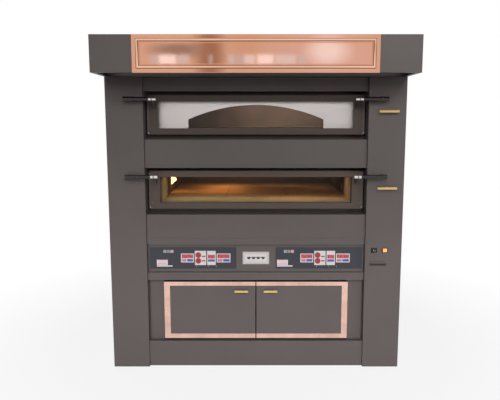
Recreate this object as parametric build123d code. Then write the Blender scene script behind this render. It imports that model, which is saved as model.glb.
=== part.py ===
from build123d import *
import os

# Electric pizza oven: two baking decks on a cabinet, under an extraction hood.
# Millimetres. X runs to the right, Y to the back, Z up; the origin is under the
# middle of the whole object. Depths are measured back from the front face of the
# pilasters, so what stands in front of them has a negative depth.

# Carcass
WIDTH = 1660.0
PILASTER_WIDTH = 208.0
BODY_DEPTH = 1400.0
SHEET = 1.5
BEND = 2.5
FLOOR_GAP = 5.0
RETURN_DEPTH = 100.0
PANEL_DEPTH = 18.0
PANEL_PLAY = 0.6
SEAT = 0.3
PAST = 1.0

# Heights of the front, from the floor up
PLINTH_HEIGHT = 157.0
CABINET_GAP_BELOW = 12.0
CABINET_DOOR_HEIGHT = 340.0
CABINET_GAP_ABOVE = 13.0
CABINET_RAIL_HEIGHT = 46.0
FASCIA_HEIGHT = 164.0
LOW_PANEL_HEIGHT = 174.0
MID_PANEL_HEIGHT = 158.0
HEADER_HEIGHT = 76.0

# Hood and flue
HOOD_HEIGHT = 186.0
HOOD_OVERHANG = 270.0
HOOD_REACH_BACK = 700.0
HOOD_FLANGE = 25.0
COPPER_SHEET = 1.5
COPPER_SIDE_SPACE = 212.0
COPPER_LIP = 22.0
BEAD_RADIUS = 5.5
BEAD_INSET = 27.0
FINE_BEAD_RADIUS = 2.0
FINE_BEAD_INSET = 41.0
FILTER_DEPTH = 20.0
FILTER_THICKNESS = 20.0
FILTER_SLOT_WIDTH = 26.0
FILTER_SLOT_PITCH = 72.0
FILTER_BORDER = 22.0
FLUE_RADIUS = 100.0
FLUE_HEIGHT = 80.0
FLUE_FLANGE = 25.0
FLUE_DEPTH = 450.0

# Frame tube and feet
TUBE = 35.0
TUBE_WALL = 2.0
POST_BOTTOM = 60.0
TRAY_DROP = 76.0
FOOT_PLATE = 84.0
FOOT_PLATE_THICKNESS = 6.0
FOOT_RADIUS = 30.0
FOOT_PAD = 10.0
FOOT_STEM_RADIUS = 8.0
FOOT_NUT = 10.0
FOOT_NUT_RADIUS = 12.8

# Front panels
LIP_PROUD = 2.0
LOW_LIP = 38.0
MID_LIP = 15.0
HEADER_LIP = 9.0
PLINTH_DEPTH = 15.0

# Baking chambers
WINDOW_HEIGHT = 149.0
REAR_ROOM = 246.0
CHAMBER_SIDE_ROOM = 12.0
CHAMBER_HEADROOM = 30.0
THROAT_LENGTH = 250.0
SILL_DROP = 50.0
TILE_THICKNESS = 22.0
TILE_GAP = 2.0
TILE_BELOW_SILL = 1.0
TILE_COLUMNS = 3
TILE_ROWS = 2
LEDGE_WIDTH = 40.0
ELEMENT_RADIUS = 4.25
ELEMENT_SIDES = 8
ELEMENT_COUNT = 5
ELEMENT_CLEARANCE = 9.0
INSULATION_SIDE = 80.0
INSULATION_TOP = 60.0
INSULATION_BACK = 100.0
LAMP_SIZE = 60.0
LAMP_PROUD = 12.0
LAMP_BEVEL = 8.0
LAMP_DEPTH = 600.0
LAMP_ABOVE_SILL = 80.0
ARCH_LEG = 163.0
ARCH_SPRING = 50.0
ARCH_CROWN_ROOM = 17.0
ARCH_OVERLAP = 7.0

# Oven doors
DOOR_SIDE_SPACE = 21.0
DOOR_STILE = 53.0
DOOR_RAIL_BELOW = 36.0
DOOR_RAIL_ABOVE = 37.0
DOOR_DEPTH = 60.0
DOOR_THICKNESS = 40.0
DOOR_GAP_BELOW = 25.0
DOOR_GAP_ABOVE = 19.0
DOOR_SHELL = 2.0
DOOR_TO_FLANGE = 4.0
GLASS_THICKNESS = 6.0
GLASS_SETBACK = 12.0
GLASS_REBATE = 10.0
GLASS_PLAY = 0.3
VENT_LENGTH = 60.0
VENT_WIDTH = 8.0
PIVOT_ABOVE_DOOR = 10.0
PIVOT_DEPTH = 75.0
PIN_RADIUS = 5.0
PIN_PLAY = 0.08
PIN_BOSS_RADIUS = 9.0
ARM_THICKNESS = 10.0
ARM_WIDTH = 26.0
ARM_BELOW_TOP = 8.0
GRIP_DEPTH = -45.0
GRIP_ABOVE_DOOR = 196.0
GRIP_LENGTH = 143.0
GRIP_RADIUS = 13.0
GRIP_NECK_RADIUS = 10.0
GRIP_SIDES = 24
GRIP_BEVEL = 4.0
BRACKET_THICKNESS = 4.0
BRACKET_INSET = 38.0
BRACKET_FOOT_LOW = 145.0
BRACKET_FOOT_HIGH = 191.0
BRACKET_EYE_RADIUS = 12.0
COLLAR_RADIUS = 10.5
OUTER_COLLAR = 15.0
INNER_COLLAR = 21.0

# Steam ducts, their dampers and the brass pulls
DUCT = 60.0
DUCT_WALL = 1.5
DUCT_FROM_SIDE = 100.0
UPPER_DUCT_DEPTH = 420.0
LOWER_DUCT_DEPTH = 540.0
BRANCH = 50.0
BRANCH_ABOVE_RECESS = 100.0
GATE_THICKNESS = 3.0
GATE_PLAY = 0.5
GATE_TONGUE = 20.0
GATE_TONGUE_LENGTH = 80.0
ROD_RADIUS = 4.0
ROD_PLAY = 0.3
PULL_ABOVE_RECESS = 155.0
PULL_LENGTH = 107.0
PULL_HEIGHT = 13.0
PULL_THICKNESS = 8.0
PULL_BEVEL = 2.0
PULL_STAND = 26.0
PULL_NECK_RADIUS = 6.0
PULL_NECK_GAP = 4.0

# Controls
FASCIA_DEPTH = 35.0
MEMBRANE_INNER = 113.0
MEMBRANE_END_SPACE = 10.0
MEMBRANE_THICKNESS = 2.0
MEMBRANE_MARGIN = 19.0
MODULE_THICKNESS = 1.5
MODULE_FRAME = 4.0
WINDOW_SINK = 0.8
LEFT_GROUP_INSET = 34.0
RIGHT_GROUP_INSET = 71.0
TALL_MODULE_HEIGHT = 84.0
LOW_MODULE_HEIGHT = 52.0
FIRST_MODULE_WIDTH = 74.0
KEY_MODULE_WIDTH = 65.0
THIRD_MODULE_WIDTH = 49.0
LAST_MODULE_WIDTH = 79.0
MODULE_SPACING = 6.0
KEY_RADIUS = 16.0
KEY_SIDES = 24
KEY_PLAY = 0.5
KEY_PITCH = 34.0
KEY_PROUD = 3.0
KEY_FOOT = 2.0
KEY_FOOT_BEARING = 4.0
KEY_INSET = 20.0
PLATE_WIDTH = 153.0
PLATE_HEIGHT = 73.0
PLATE_THICKNESS = 4.0
MARK_COUNT = 4
MARK_PITCH = 26.5
MARK_WIDTH = 20.0
MARK_HEIGHT = 13.0
MARK_SLOPE = 67.0
BOX_SIDE_SPACE = 22.0
BOX_DEPTH = 220.0
BOX_HEIGHT = 140.0

# Windows sunk into the display modules: left, low, width and height, as shares of the room in the frame
SPLIT_WINDOWS = [(0, 0.45, 1, 0.55), (0, 0, 1, 0.36)]
STACKED_WINDOWS = [(0, 0.45, 1, 0.3), (0, 0.2, 1, 0.2)]
KEY_SIDE_WINDOWS = [(0.62, 0.56, 0.38, 0.12), (0.62, 0.22, 0.38, 0.12)]

# Rocker switches and the louvre under them
SWITCH_ABOVE_RAIL = 134.5
MAIN_SWITCH_INSET = 51.0
LAMP_SWITCH_INSET = 112.0
BEZEL_WIDTH = 34.0
BEZEL_HEIGHT = 28.0
BEZEL_PROUD = 2.0
SWITCH_WIDTH = 30.0
SWITCH_HEIGHT = 24.0
SWITCH_DEPTH = 26.0
SWITCH_WALL = 1.6
CUTOUT_PLAY = 0.3
ROCKER_HALF_WIDTH = 11.4
ROCKER_PROUD = 4.0
ROCKER_HOLLOW = 1.6
ROCKER_HEEL = 4.0
ROCKER_KEEL_RADIUS = 3.0
ROCKER_KEEL_REACH = 60.0
ROCKER_TAPER = 1.0
ROCKER_PIVOT_DEPTH = 5.0
ROCKER_TILT = 9.0
ROCKER_PLAY = 0.4
LOUVRE_BELOW_SWITCH = 74.5
LOUVRE_LENGTH = 90.0
LOUVRE_RADIUS = 8.0
LOUVRE_INSET = 75.0

# Cabinet
STILE_DEPTH = 50.0
STILE_WIDTH = 86.0
LINER_SIDE_SPACE = 22.0
LINER_REAR_SPACE = 60.0
DOOR_SEAM = 6.0
DOOR_SIDE_GAP = 3.0
CABINET_DOOR_DEPTH = 30.0
CABINET_DOOR_THICKNESS = 20.0
TRIM_THICKNESS = 1.5
TRIM_TOP = 23.0
TRIM_SIDE = 34.0
TRIM_BOTTOM = 27.0
CABINET_PIVOT_INSET = 5.0
CABINET_PIVOT_SETBACK = 10.0
CABINET_PIN_RADIUS = 4.0
CABINET_PIN_REACH = 9.0
CABINET_BOSS_RADIUS = 7.0
HANDLE_X = 84.0
HANDLE_LENGTH = 78.0
HANDLE_HEIGHT = 13.0
HANDLE_THICKNESS = 8.0
HANDLE_STAND = 20.0
HANDLE_BEVEL = 2.0
HANDLE_POST = 9.0
HANDLE_POST_SPACING = 50.0
HANDLE_BELOW_TOP = 52.0

# Air slots and cable entry
SLOT_LENGTH = 90.0
SLOT_HEIGHT = 7.0
SLOT_PITCH = 17.0
SLOT_ROWS = 8
SIDE_SLOT_DEPTH = 320.0
BACK_SLOT_FROM_SIDE = 350.0
BACK_SLOT_HEIGHT = 1420.0
GLAND_FROM_SIDE = 230.0
GLAND_HEIGHT = 250.0
GLAND_RADIUS = 20.0
GLAND_BORE = 9.0
GLAND_PROUD = 28.0
GLAND_THREAD = 15.0
GLAND_NUT = 8.0
GLAND_CAP_RADIUS = 17.0

# Places that follow from the sizes
HALF = WIDTH / 2
BAY = HALF - PILASTER_WIDTH
PANEL_HALF = BAY - PANEL_PLAY
DOOR_WIDTH = 2 * (BAY - DOOR_SIDE_SPACE)
WINDOW_WIDTH = DOOR_WIDTH - 2 * DOOR_STILE
DOOR_HEIGHT = DOOR_RAIL_BELOW + WINDOW_HEIGHT + DOOR_RAIL_ABOVE
DECK_RECESS_HEIGHT = DOOR_GAP_BELOW + DOOR_HEIGHT + DOOR_GAP_ABOVE
CABINET_Z0 = PLINTH_HEIGHT + CABINET_GAP_BELOW
CABINET_Z1 = CABINET_Z0 + CABINET_DOOR_HEIGHT
CABINET_RAIL_Z = CABINET_Z1 + CABINET_GAP_ABOVE
FASCIA_Z = CABINET_RAIL_Z + CABINET_RAIL_HEIGHT
LOW_PANEL_Z = FASCIA_Z + FASCIA_HEIGHT
LOWER_DECK_Z = LOW_PANEL_Z + LOW_PANEL_HEIGHT
MID_PANEL_Z = LOWER_DECK_Z + DECK_RECESS_HEIGHT
UPPER_DECK_Z = MID_PANEL_Z + MID_PANEL_HEIGHT
HEADER_Z = UPPER_DECK_Z + DECK_RECESS_HEIGHT
CARCASS_HEIGHT = HEADER_Z + HEADER_HEIGHT
ROOF_Z = CARCASS_HEIGHT - SHEET
HOOD_TOP = CARCASS_HEIGHT + HOOD_HEIGHT
SKIN = HALF - SHEET
POST_X = SKIN - TUBE
REAR_POST_DEPTH = BODY_DEPTH - SHEET - TUBE
DECKS = {"upper": UPPER_DECK_Z, "lower": LOWER_DECK_Z}
DUCT_DEPTHS = {"upper": UPPER_DUCT_DEPTH, "lower": LOWER_DUCT_DEPTH}
SILL_ABOVE_RECESS = DOOR_GAP_BELOW + DOOR_RAIL_BELOW
FLANGE_DEPTH = DOOR_DEPTH + DOOR_THICKNESS + DOOR_TO_FLANGE
CHAMBER_HALF = WINDOW_WIDTH / 2 + CHAMBER_SIDE_ROOM
CHAMBER_FRONT = FLANGE_DEPTH + THROAT_LENGTH
CHAMBER_BACK = BODY_DEPTH - REAR_ROOM
ARCH_WIDTH = WINDOW_WIDTH - 2 * ARCH_LEG
ARCH_RISE = WINDOW_HEIGHT - ARCH_SPRING - ARCH_CROWN_ROOM
BRACKET_X = DOOR_WIDTH / 2 - BRACKET_INSET
DUCT_X = HALF - DUCT_FROM_SIDE
MEMBRANE_DEPTH = FASCIA_DEPTH - MEMBRANE_THICKNESS
MODULE_DEPTH = MEMBRANE_DEPTH - MODULE_THICKNESS
FASCIA_MIDDLE = FASCIA_Z + FASCIA_HEIGHT / 2
MEMBRANE_OUTER = BAY - MEMBRANE_END_SPACE
MODULE_WIDTHS = [FIRST_MODULE_WIDTH, KEY_MODULE_WIDTH, THIRD_MODULE_WIDTH, LAST_MODULE_WIDTH]
GROUP_WIDTH = sum(MODULE_WIDTHS) + (len(MODULE_WIDTHS) - 1) * MODULE_SPACING
LEFT_GROUP_X = -MEMBRANE_INNER - LEFT_GROUP_INSET - GROUP_WIDTH
RIGHT_GROUP_X = MEMBRANE_OUTER - RIGHT_GROUP_INSET - GROUP_WIDTH
SWITCH_Z = FASCIA_Z + SWITCH_ABOVE_RAIL
MAIN_SWITCH_X = BAY + MAIN_SWITCH_INSET
LAMP_SWITCH_X = BAY + LAMP_SWITCH_INSET
LOUVRE_X = BAY + LOUVRE_INSET
STILE_INNER_X = BAY - STILE_WIDTH
LINER_HALF_WIDTH = BAY - LINER_SIDE_SPACE
LINER_BACK = BODY_DEPTH - LINER_REAR_SPACE
CABINET_DOOR_OUTER = STILE_INNER_X - DOOR_SIDE_GAP
CABINET_PIVOT_X = CABINET_DOOR_OUTER - CABINET_PIVOT_INSET
CABINET_PIVOT_DEPTH = CABINET_DOOR_DEPTH + CABINET_PIVOT_SETBACK
HANDLE_Z = CABINET_Z1 - HANDLE_BELOW_TOP
COPPER_WIDTH = WIDTH - 2 * COPPER_SIDE_SPACE
COPPER_PROUD = COPPER_SHEET + BEAD_RADIUS
BACK_SLOT_X = HALF - BACK_SLOT_FROM_SIDE
GLAND_X = HALF - GLAND_FROM_SIDE
WHOLE_DEPTH = COPPER_PROUD + HOOD_OVERHANG + BODY_DEPTH + GLAND_PROUD
FRONT_Y = -WHOLE_DEPTH / 2 + COPPER_PROUD + HOOD_OVERHANG


# Helpers: solids by their limits, with depths from the pilaster face

def block(x0, x1, d0, d1, z0, z1):
    centre = Pos((x0 + x1) / 2, FRONT_Y + (d0 + d1) / 2, (z0 + z1) / 2)
    return centre * Box(x1 - x0, d1 - d0, z1 - z0)


def rod_x(x0, x1, depth, z, radius):
    return Pos((x0 + x1) / 2, FRONT_Y + depth, z) * Rot(0, 90, 0) * Cylinder(radius, x1 - x0)


def rod_y(x, d0, d1, z, radius):
    return Pos(x, FRONT_Y + (d0 + d1) / 2, z) * Rot(90, 0, 0) * Cylinder(radius, d1 - d0)


def rod_z(x, depth, z0, z1, radius):
    return Pos(x, FRONT_Y + depth, (z0 + z1) / 2) * Cylinder(radius, z1 - z0)


def across(face, x0, x1):
    """Run a profile drawn in depth and height along X."""
    plane = Plane(origin=(x0, FRONT_Y, 0), x_dir=(0, 1, 0), z_dir=(1, 0, 0))
    return extrude(plane * face, x1 - x0)


def upright(face, z0, z1):
    """Run a profile drawn in X and depth up along Z."""
    return extrude(Pos(0, FRONT_Y, z0) * face, z1 - z0)


def facing(face, d0, d1):
    """Run a profile drawn in X and height back along Y."""
    plane = Plane(origin=(0, FRONT_Y + d1, 0), x_dir=(1, 0, 0), z_dir=(0, -1, 0))
    return extrude(plane * face, d1 - d0)


def fold(*points, side=Side.RIGHT, sheet=SHEET):
    """Section of a bent sheet whose outer face follows the points."""
    line = FilletPolyline(*points, radius=BEND)
    return make_face(offset(line, amount=sheet, side=side).edges())


def other_side(shape):
    return mirror(shape, about=Plane.YZ)


def both_sides(shape):
    return [shape, other_side(shape)]


def save(name, *shapes):
    solids = [solid for shape in shapes for solid in shape.solids()]
    export_step(solids[0] if len(solids) == 1 else Compound(children=solids), f"parts/{name}.step")


# Frame

def tube_along_x(x0, x1, d0, z0):
    outer = block(x0, x1, d0, d0 + TUBE, z0, z0 + TUBE)
    w = TUBE_WALL
    return outer - block(x0, x1, d0 + w, d0 + TUBE - w, z0 + w, z0 + TUBE - w)


def tube_along_y(x0, d0, d1, z0):
    outer = block(x0, x0 + TUBE, d0, d1, z0, z0 + TUBE)
    w = TUBE_WALL
    return outer - block(x0 + w, x0 + TUBE - w, d0, d1, z0 + w, z0 + TUBE - w)


def post(x0, d0):
    outer = block(x0, x0 + TUBE, d0, d0 + TUBE, POST_BOTTOM, ROOF_Z)
    w = TUBE_WALL
    return outer - block(x0 + w, x0 + TUBE - w, d0 + w, d0 + TUBE - w, POST_BOTTOM, ROOF_Z)


def ring(top):
    """Four rails between the posts, with their upper faces at one height."""
    z = top - TUBE
    rails = [tube_along_x(-POST_X, POST_X, d, z) for d in (RETURN_DEPTH, REAR_POST_DEPTH)]
    return rails + both_sides(tube_along_y(POST_X, RETURN_DEPTH + TUBE, REAR_POST_DEPTH, z))


def foot_plate(d0, d1):
    top = POST_BOTTOM
    return block(SKIN - FOOT_PLATE, SKIN, d0, d1, top - FOOT_PLATE_THICKNESS, top)


def deck_tray(deck_z):
    """Sheet that carries a deck, notched for the posts and holed for the lower deck's steam duct."""
    z0 = deck_z - TRAY_DROP
    z1 = z0 + SHEET
    tray = block(-SKIN, SKIN, RETURN_DEPTH, REAR_POST_DEPTH + TUBE, z0, z1)
    for d in (RETURN_DEPTH, REAR_POST_DEPTH):
        for x in (-SKIN, POST_X):
            tray -= block(x, x + TUBE, d, d + TUBE, z0, z1)
    if deck_z > LOWER_DECK_Z:
        r = DUCT / 2 + SEAT
        tray -= block(DUCT_X - r, DUCT_X + r, LOWER_DUCT_DEPTH - r, LOWER_DUCT_DEPTH + r, z0, z1)
    return tray


def make_frame():
    parts = []
    for depth in (RETURN_DEPTH, REAR_POST_DEPTH):
        parts += both_sides(post(POST_X, depth))
    for plate_front in (RETURN_DEPTH, REAR_POST_DEPTH + TUBE - FOOT_PLATE):
        parts += both_sides(foot_plate(plate_front, plate_front + FOOT_PLATE))
    for top in (PLINTH_HEIGHT, FASCIA_Z, LOWER_DECK_Z - TRAY_DROP, UPPER_DECK_Z - TRAY_DROP, ROOF_Z):
        parts += ring(top)
    parts += [deck_tray(deck_z) for deck_z in DECKS.values()]
    save("base_frame", *parts)


def make_feet():
    """Levelling feet: a round pad on a six-sided stem, with a lock nut under the frame's plate."""
    plate_under = POST_BOTTOM - FOOT_PLATE_THICKNESS
    pad = extrude(Circle(FOOT_RADIUS), FOOT_PAD)
    stem = extrude(RegularPolygon(FOOT_STEM_RADIUS, 6), plate_under)
    nut = Pos(0, 0, plate_under - FOOT_NUT) * extrude(RegularPolygon(FOOT_NUT_RADIUS, 6), FOOT_NUT)
    foot = pad + stem + nut
    x = SKIN - FOOT_PLATE / 2
    front = RETURN_DEPTH + FOOT_PLATE / 2
    back = REAR_POST_DEPTH + TUBE - FOOT_PLATE / 2
    feet = [foot.moved(Location((sx * x, FRONT_Y + d, 0))) for sx in (-1, 1) for d in (front, back)]
    save("levelling_feet", *feet)


# Outer skin

def pilaster():
    section = fold((HALF, RETURN_DEPTH), (HALF, 0), (BAY, 0), (BAY, RETURN_DEPTH))
    return upright(section, FLOOR_GAP, ROOF_Z)


def louvre():
    """Pressed air scoop, closed at its ends and open below."""
    z = SWITCH_Z - LOUVRE_BELOW_SWITCH
    x0 = LOUVRE_X - LOUVRE_LENGTH / 2
    x1 = LOUVRE_X + LOUVRE_LENGTH / 2
    outer = rod_x(x0, x1, SHEET, z, LOUVRE_RADIUS + SHEET)
    inner = rod_x(x0 + SHEET, x1 - SHEET, SHEET, z, LOUVRE_RADIUS)
    quarter = block(x0, x1, -LOUVRE_RADIUS - SHEET, SHEET, z, z + LOUVRE_RADIUS + SHEET)
    return (outer - inner) & quarter


def louvre_slot():
    z = SWITCH_Z - LOUVRE_BELOW_SWITCH
    half = LOUVRE_LENGTH / 2 - SHEET
    return block(LOUVRE_X - half, LOUVRE_X + half, -PAST, SHEET + PAST, z, z + LOUVRE_RADIUS)


def switch_cutout(x):
    w = SWITCH_WIDTH / 2 + CUTOUT_PLAY
    h = SWITCH_HEIGHT / 2 + CUTOUT_PLAY
    return block(x - w, x + w, -PAST, SHEET + PAST, SWITCH_Z - h, SWITCH_Z + h)


def make_pilasters():
    right = pilaster()
    save("left_pilaster", other_side(right))
    for x in (MAIN_SWITCH_X, LAMP_SWITCH_X):
        right -= switch_cutout(x)
    for deck_z in DECKS.values():
        right -= rod_y(DUCT_X, -PAST, SHEET + PAST, deck_z + PULL_ABOVE_RECESS, ROD_RADIUS + ROD_PLAY)
    right = right - louvre_slot() + louvre()
    save("right_pilaster", right)


def side_slots():
    z = FASCIA_Z + (FASCIA_HEIGHT - (SLOT_ROWS - 1) * SLOT_PITCH - SLOT_HEIGHT) / 2
    d = SIDE_SLOT_DEPTH
    return [
        block(SKIN - PAST, HALF + PAST, d, d + SLOT_LENGTH, low, low + SLOT_HEIGHT)
        for low in (z + i * SLOT_PITCH for i in range(SLOT_ROWS))
    ]


def make_side_panels():
    plate = block(SKIN, HALF, RETURN_DEPTH + SEAT, BODY_DEPTH, FLOOR_GAP, ROOF_Z)
    for slot in side_slots():
        plate -= slot
    save("right_side_panel", plate)
    save("left_side_panel", other_side(plate))


def make_back_panel():
    plate = block(-SKIN + SEAT, SKIN - SEAT, BODY_DEPTH - SHEET, BODY_DEPTH, FLOOR_GAP, ROOF_Z)
    d0, d1 = BODY_DEPTH - SHEET - PAST, BODY_DEPTH + PAST
    for x in (-BACK_SLOT_X, 0, BACK_SLOT_X):
        for i in range(SLOT_ROWS):
            z = BACK_SLOT_HEIGHT + i * SLOT_PITCH
            x0 = x - SLOT_LENGTH / 2
            plate -= block(x0, x0 + SLOT_LENGTH, d0, d1, z, z + SLOT_HEIGHT)
    plate -= rod_y(GLAND_X, d0, d1, GLAND_HEIGHT, GLAND_THREAD + SEAT)
    save("back_panel", plate)


def make_roof():
    plate = block(-HALF, HALF, 0, BODY_DEPTH, ROOF_Z, CARCASS_HEIGHT)
    inner = DUCT / 2 - DUCT_WALL
    for depth in DUCT_DEPTHS.values():
        x0, x1 = DUCT_X - inner, DUCT_X + inner
        plate -= block(x0, x1, depth - inner, depth + inner, ROOF_Z - PAST, CARCASS_HEIGHT + PAST)
    save("roof_panel", plate)


# Hood

def make_hood():
    z0, z1 = CARCASS_HEIGHT, HOOD_TOP
    front, back = -HOOD_OVERHANG, HOOD_REACH_BACK
    s = SHEET
    shell = block(-HALF, HALF, front, back, z0, z1)
    shell = fillet(shell.edges().filter_by(Axis.Z), BEND)
    shell = chamfer(shell.faces().sort_by(Axis.Z)[0].edges(), BEND - COPPER_SHEET)
    shell -= block(-HALF + s, HALF - s, front + s, back - s, z0 + s, z1 - s)
    f = HOOD_FLANGE
    shell -= block(-HALF + f, HALF - f, front + f, back - f, z0 - PAST, z0 + s + PAST)
    shell -= rod_z(0, FLUE_DEPTH, z1 - s - PAST, z1 + PAST, FLUE_RADIUS - SHEET)
    save("hood_shell", shell)


def bead(radius, inset, face_depth):
    """Half-round moulding run round the copper plate, mitred at its corners."""
    x = COPPER_WIDTH / 2 - inset
    z0, z1 = CARCASS_HEIGHT + inset, HOOD_TOP - inset
    path = Polyline((-x, z0), (x, z0), (x, z1), (-x, z1), close=True)
    plane = Plane(origin=(0, FRONT_Y + face_depth, 0), x_dir=(1, 0, 0), z_dir=(0, -1, 0))
    section_plane = Plane(origin=(0, FRONT_Y + face_depth, z0), x_dir=(0, 0, 1), z_dir=(1, 0, 0))
    half_round = Circle(radius) & Pos(0, radius) * Rectangle(2 * radius, 2 * radius)
    return sweep(section_plane * half_round, path=(plane * path), transition=Transition.RIGHT)


def make_copper_panel():
    w = COPPER_WIDTH / 2
    face = -HOOD_OVERHANG - COPPER_SHEET
    low = CARCASS_HEIGHT - COPPER_SHEET
    points = (face, HOOD_TOP), (face, low), (-HOOD_OVERHANG + COPPER_LIP, low)
    section = fold(*points, side=Side.LEFT, sheet=COPPER_SHEET)
    plate = across(section, -w, w)
    plate += bead(BEAD_RADIUS, BEAD_INSET, face)
    plate += bead(FINE_BEAD_RADIUS, FINE_BEAD_INSET, face)
    save("hood_copper_panel", plate)


def make_filter():
    half = SKIN - SEAT
    z0, z1 = CARCASS_HEIGHT + SHEET + SEAT, HOOD_TOP - SHEET - SEAT
    d0, d1 = FILTER_DEPTH, FILTER_DEPTH + FILTER_THICKNESS
    grille = block(-half, half, d0, d1, z0, z1)
    z0 += FILTER_BORDER
    z1 -= FILTER_BORDER
    count = int((2 * half - FILTER_BORDER) / FILTER_SLOT_PITCH)
    slots = GridLocations(FILTER_SLOT_PITCH, 1, count, 1)
    slot = block(-FILTER_SLOT_WIDTH / 2, FILTER_SLOT_WIDTH / 2, d0 - PAST, d1 + PAST, z0, z1)
    grille -= [place * slot for place in slots]
    save("hood_filter", grille)


def make_flue():
    """Round flue spigot on a square flange."""
    reach = FLUE_RADIUS + FLUE_FLANGE
    d0, d1 = FLUE_DEPTH - reach, FLUE_DEPTH + reach
    top = HOOD_TOP + FLUE_HEIGHT
    collar = block(-reach, reach, d0, d1, HOOD_TOP, HOOD_TOP + SHEET)
    collar += rod_z(0, FLUE_DEPTH, HOOD_TOP, top, FLUE_RADIUS)
    save("flue_collar", collar - rod_z(0, FLUE_DEPTH, HOOD_TOP - PAST, top + PAST, FLUE_RADIUS - SHEET))


# Front panels between the pilasters

def front_panel(z0, z1, lip, depth=PANEL_DEPTH):
    """Channel folded back at top and bottom, with a doubled lip along its lower edge."""
    section = fold((RETURN_DEPTH, z1), (depth, z1), (depth, z0), (RETURN_DEPTH, z0), side=Side.LEFT)
    panel = across(section, -PANEL_HALF, PANEL_HALF)
    if lip:
        strip = Polyline(
            (depth, z0), (depth - LIP_PROUD, z0), (depth - LIP_PROUD, z0 + lip - LIP_PROUD),
            (depth, z0 + lip), close=True,
        )
        panel += across(make_face(strip), -PANEL_HALF, PANEL_HALF)
    return panel


def make_front_panels():
    save("header_panel", front_panel(HEADER_Z, ROOF_Z, HEADER_LIP))
    save("mid_panel", front_panel(MID_PANEL_Z, UPPER_DECK_Z, MID_LIP))
    save("low_panel", front_panel(LOW_PANEL_Z, LOWER_DECK_Z, LOW_LIP))
    save("plinth", front_panel(FLOOR_GAP, PLINTH_HEIGHT, 0, PLINTH_DEPTH))


# Control fascia

def key_columns():
    """Middle of the two stacked keys in the key module of each panel."""
    reach = FIRST_MODULE_WIDTH + MODULE_SPACING + KEY_INSET
    return {"left": LEFT_GROUP_X + reach, "right": RIGHT_GROUP_X + reach}


def key_centres():
    places = {}
    for side, x in key_columns().items():
        places[f"{side}_upper_key"] = (x, FASCIA_MIDDLE + KEY_PITCH / 2)
        places[f"{side}_lower_key"] = (x, FASCIA_MIDDLE - KEY_PITCH / 2)
    return places


def key_prism(x, z, radius, d0, d1):
    """Many-sided prism, for a key's fluted cap and for its hole."""
    return facing(Pos(x, z) * RegularPolygon(radius, KEY_SIDES), d0, d1)


def bore_keys(plate, d0, d1):
    for x, z in key_centres().values():
        plate -= key_prism(x, z, KEY_RADIUS + KEY_PLAY, d0 - PAST, d1 + PAST)
    return plate


def open_behind_keys(plate, d0, d1):
    """Cut one rectangular opening behind the two keys of each panel."""
    reach = KEY_RADIUS + KEY_PLAY
    rise = KEY_PITCH / 2 + reach
    for x in key_columns().values():
        z0, z1 = FASCIA_MIDDLE - rise, FASCIA_MIDDLE + rise
        plate -= block(x - reach, x + reach, d0 - PAST, d1 + PAST, z0, z1)
    return plate


def make_fascia():
    z0, z1 = FASCIA_Z + SEAT, LOW_PANEL_Z - SEAT
    plate = block(-PANEL_HALF, PANEL_HALF, FASCIA_DEPTH, FASCIA_DEPTH + SHEET, z0, z1)
    save("control_fascia", open_behind_keys(plate, FASCIA_DEPTH, FASCIA_DEPTH + SHEET))
    z0, z1 = FASCIA_Z + MEMBRANE_MARGIN, LOW_PANEL_Z - MEMBRANE_MARGIN
    membrane = block(MEMBRANE_INNER, MEMBRANE_OUTER, MEMBRANE_DEPTH, FASCIA_DEPTH, z0, z1)
    membranes = [open_behind_keys(m, MEMBRANE_DEPTH, FASCIA_DEPTH) for m in both_sides(membrane)]
    save("control_panels", *membranes)


def module(x0, width, height, windows):
    """Raised display frame with sunk windows."""
    z0 = FASCIA_MIDDLE - height / 2
    frame = block(x0, x0 + width, MODULE_DEPTH, MEMBRANE_DEPTH, z0, z0 + height)
    room = width - 2 * MODULE_FRAME
    rise = height - 2 * MODULE_FRAME
    for x, z, w, h in windows:
        left = x0 + MODULE_FRAME + x * room
        low = z0 + MODULE_FRAME + z * rise
        d0, d1 = MODULE_DEPTH - PAST, MODULE_DEPTH + WINDOW_SINK
        frame -= block(left, left + w * room, d0, d1, low, low + h * rise)
    return frame


def module_group(x0):
    """Four modules side by side, the second one round the two keys."""
    group = []
    heights = [LOW_MODULE_HEIGHT, TALL_MODULE_HEIGHT, TALL_MODULE_HEIGHT, LOW_MODULE_HEIGHT]
    kinds = [SPLIT_WINDOWS, KEY_SIDE_WINDOWS, STACKED_WINDOWS, SPLIT_WINDOWS]
    for width, height, windows in zip(MODULE_WIDTHS, heights, kinds):
        group.append(bore_keys(module(x0, width, height, windows), MODULE_DEPTH, MEMBRANE_DEPTH))
        x0 += width + MODULE_SPACING
    return group


def centre_plate():
    d0 = FASCIA_DEPTH - PLATE_THICKNESS
    z0 = FASCIA_MIDDLE - PLATE_HEIGHT / 2
    plate = block(-PLATE_WIDTH / 2, PLATE_WIDTH / 2, d0, FASCIA_DEPTH, z0, z0 + PLATE_HEIGHT)
    plate = chamfer(plate.faces().sort_by(Axis.Y)[0].edges(), WINDOW_SINK)
    mark = Trapezoid(MARK_WIDTH, MARK_HEIGHT, MARK_SLOPE, rotation=180)
    for place in GridLocations(MARK_PITCH, 1, MARK_COUNT, 1):
        plate -= facing(place * Pos(0, FASCIA_MIDDLE) * mark, d0 - PAST, d0 + WINDOW_SINK)
    return plate


def make_modules():
    save("display_modules", *module_group(LEFT_GROUP_X), *module_group(RIGHT_GROUP_X), centre_plate())


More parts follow.
